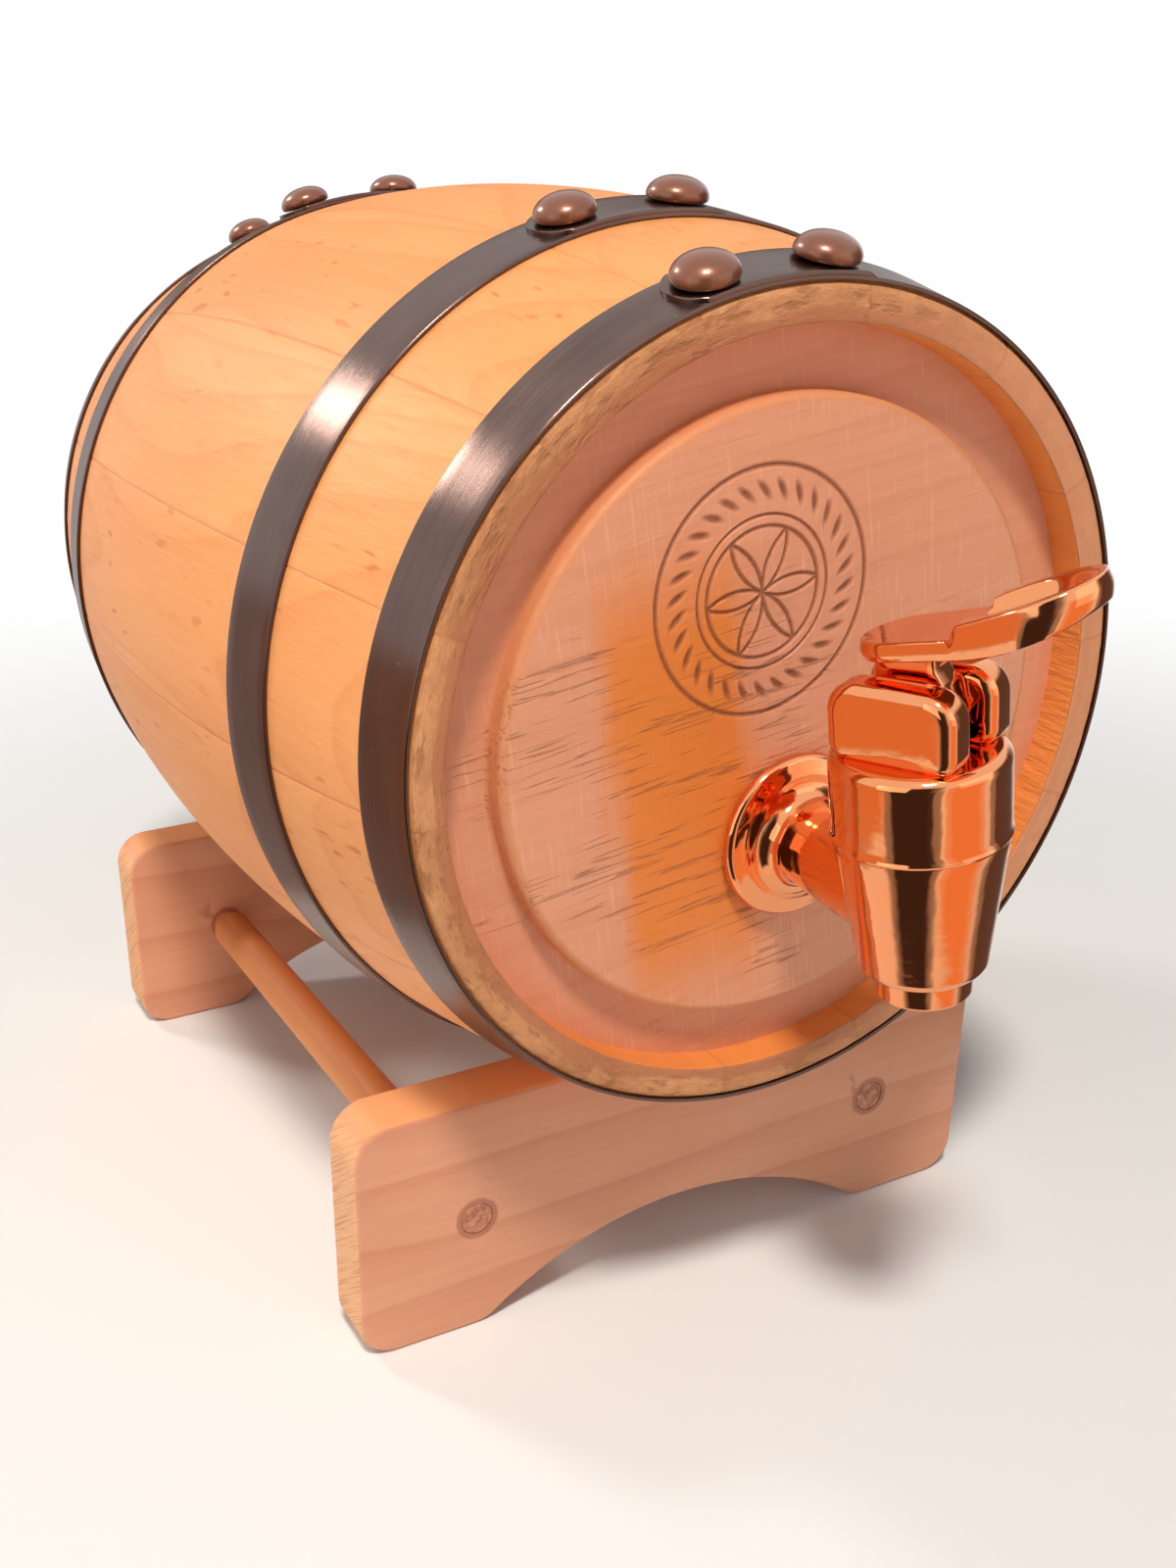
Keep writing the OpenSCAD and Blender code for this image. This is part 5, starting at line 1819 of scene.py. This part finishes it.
world = bpy.data.worlds.new("studio")
bpy.context.scene.world = world
world.use_nodes = True
tree = world.node_tree
tree.nodes.clear()
ambient = add(tree, "ShaderNodeBackground", {"Color": (1.0, 0.95, 0.92, 1), "Strength": 0.24})
white = add(tree, "ShaderNodeBackground", {"Color": (1, 1, 1, 1), "Strength": 1.0})
both = add(tree, "ShaderNodeMixShader", {0: seen_ray(tree), 1: ambient, 2: white})
add(tree, "ShaderNodeOutputWorld", {0: both})


def lamp(name, place, target, size, power, tint):
    """A square area lamp that looks at a target."""
    data = bpy.data.lights.new(name, "AREA")
    data.shape, data.size, data.energy, data.color = "SQUARE", size, power, tint
    made = bpy.data.objects.new(name, data)
    bpy.context.scene.collection.objects.link(made)
    way = Vector(place) - Vector(target)
    turned = way.to_track_quat("Z", "Y").to_matrix().to_4x4()
    made.matrix_world = Matrix.Translation(place) @ turned
    return made


centre = (0, 0, 0.12)
lamps = (
    lamp("key", (-0.40, -0.65, 1.41), centre, 0.2, 18.5, (1.0, 0.92, 0.82)),
    lamp("front_fill", (0.7, -1.3, 0.5), centre, 1.2, 1.9, (0.85, 0.92, 1.0)),
    lamp("left_fill", (-1.25, -0.45, 0.45), centre, 0.9, 3.0, (1.0, 0.95, 0.90)),
    lamp("back_left", (-0.67, 1.03, 0.98), centre, 0.24, 6, (1.0, 0.92, 0.84)),
)


def card(name, centre, turn, half_turn, near, high, tint, tone):
    """A screen that only reflections see. It lies on the floor as a fan round a point and
    rises behind it, and its edges fade out."""
    far = 2.4
    shell = Shell()
    ends = np.radians(np.linspace(turn - half_turn, turn + half_turn, 9))
    across = (0, 0.7, 1, 1, 1, 1, 1, 0.7, 0)
    floor_z = tone / 100
    along = ((near, floor_z, 0), (near + 0.015, floor_z, 1), (far, floor_z, 1))
    along += ((far, 0.7 * high, 1), (far, high, 0))
    rows = [
        shell.loop(
            [(centre[0] + r * math.sin(a), centre[1] - r * math.cos(a), z) for a in ends]
        )
        for r, z, _ in along
    ]
    for low, top in zip(rows, rows[1:]):
        for i in range(len(ends) - 1):
            shell.faces.append((low[i], low[i + 1], top[i + 1], top[i]))
    screen = link(name, shell.mesh(name))
    fade = [deep * wide for _, _, deep in along for wide in across]
    write_numbers(screen.data, "fade", fade)
    material, tree = new_material(name)
    glow = add(tree, "ShaderNodeEmission", {"Color": tint, "Strength": tone})
    clear = add(tree, "ShaderNodeBsdfTransparent")
    seen = attribute(tree, "fade", "Fac")
    mix = add(tree, "ShaderNodeMixShader", {0: seen, 1: clear, 2: glow})
    add(tree, "ShaderNodeOutputMaterial", {0: mix})
    screen.data.materials.append(material)
    for ray in ("camera", "diffuse", "shadow", "transmission", "volume_scatter"):
        setattr(screen, f"visible_{ray}", False)


before_tap = (0.0, -0.12)
brown, amber = (1.0, 0.70, 0.60, 1), (1.0, 0.46, 0.20, 1)
card("card_front", before_tap, -52, 42, 0.06, 1.9, brown, 0.05)
card("card_low_left", (0, 0), -112, 50, 0.12, 0.3, brown, 0.55)
card("card_left", before_tap, -106, 26, 0.17, 0.5, amber, 0.8)
card("card_gap", before_tap, 18, 30, 0.09, 0.8, amber, 0.95)
card("card_right", before_tap, 82, 34, 0.10, 1.5, brown, 0.12)
card("card_back", (0, 0), 158, 30, 0.45, 1.6, brown, 0.22)

# the camera's directions, found from the object's own straight and round edges
turn, rise, bank = (math.radians(value) for value in (-24.532, 23.647, -1.687))
back = Vector(
    (math.sin(turn) * math.cos(rise), -math.cos(turn) * math.cos(rise), math.sin(rise))
)
right = (-back).cross(Vector((0, 0, 1))).normalized()
up = right.cross(-back)
level_right = math.cos(bank) * right + math.sin(bank) * up
level_up = -math.sin(bank) * right + math.cos(bank) * up
camera_data = bpy.data.cameras.new("camera")
camera_data.lens = 36.93
camera_data.shift_x = 0.108
camera_data.shift_y = 0.0466
camera_data.clip_start = 0.01
camera = bpy.data.objects.new("camera", camera_data)
bpy.context.scene.collection.objects.link(camera)
turned = Matrix((level_right, level_up, back)).transposed().to_4x4()
camera.matrix_world = Matrix.Translation((-0.1725, -0.2985, 0.2276)) @ turned
bpy.context.scene.camera = camera
bpy.context.scene.view_settings.view_transform = "Standard"
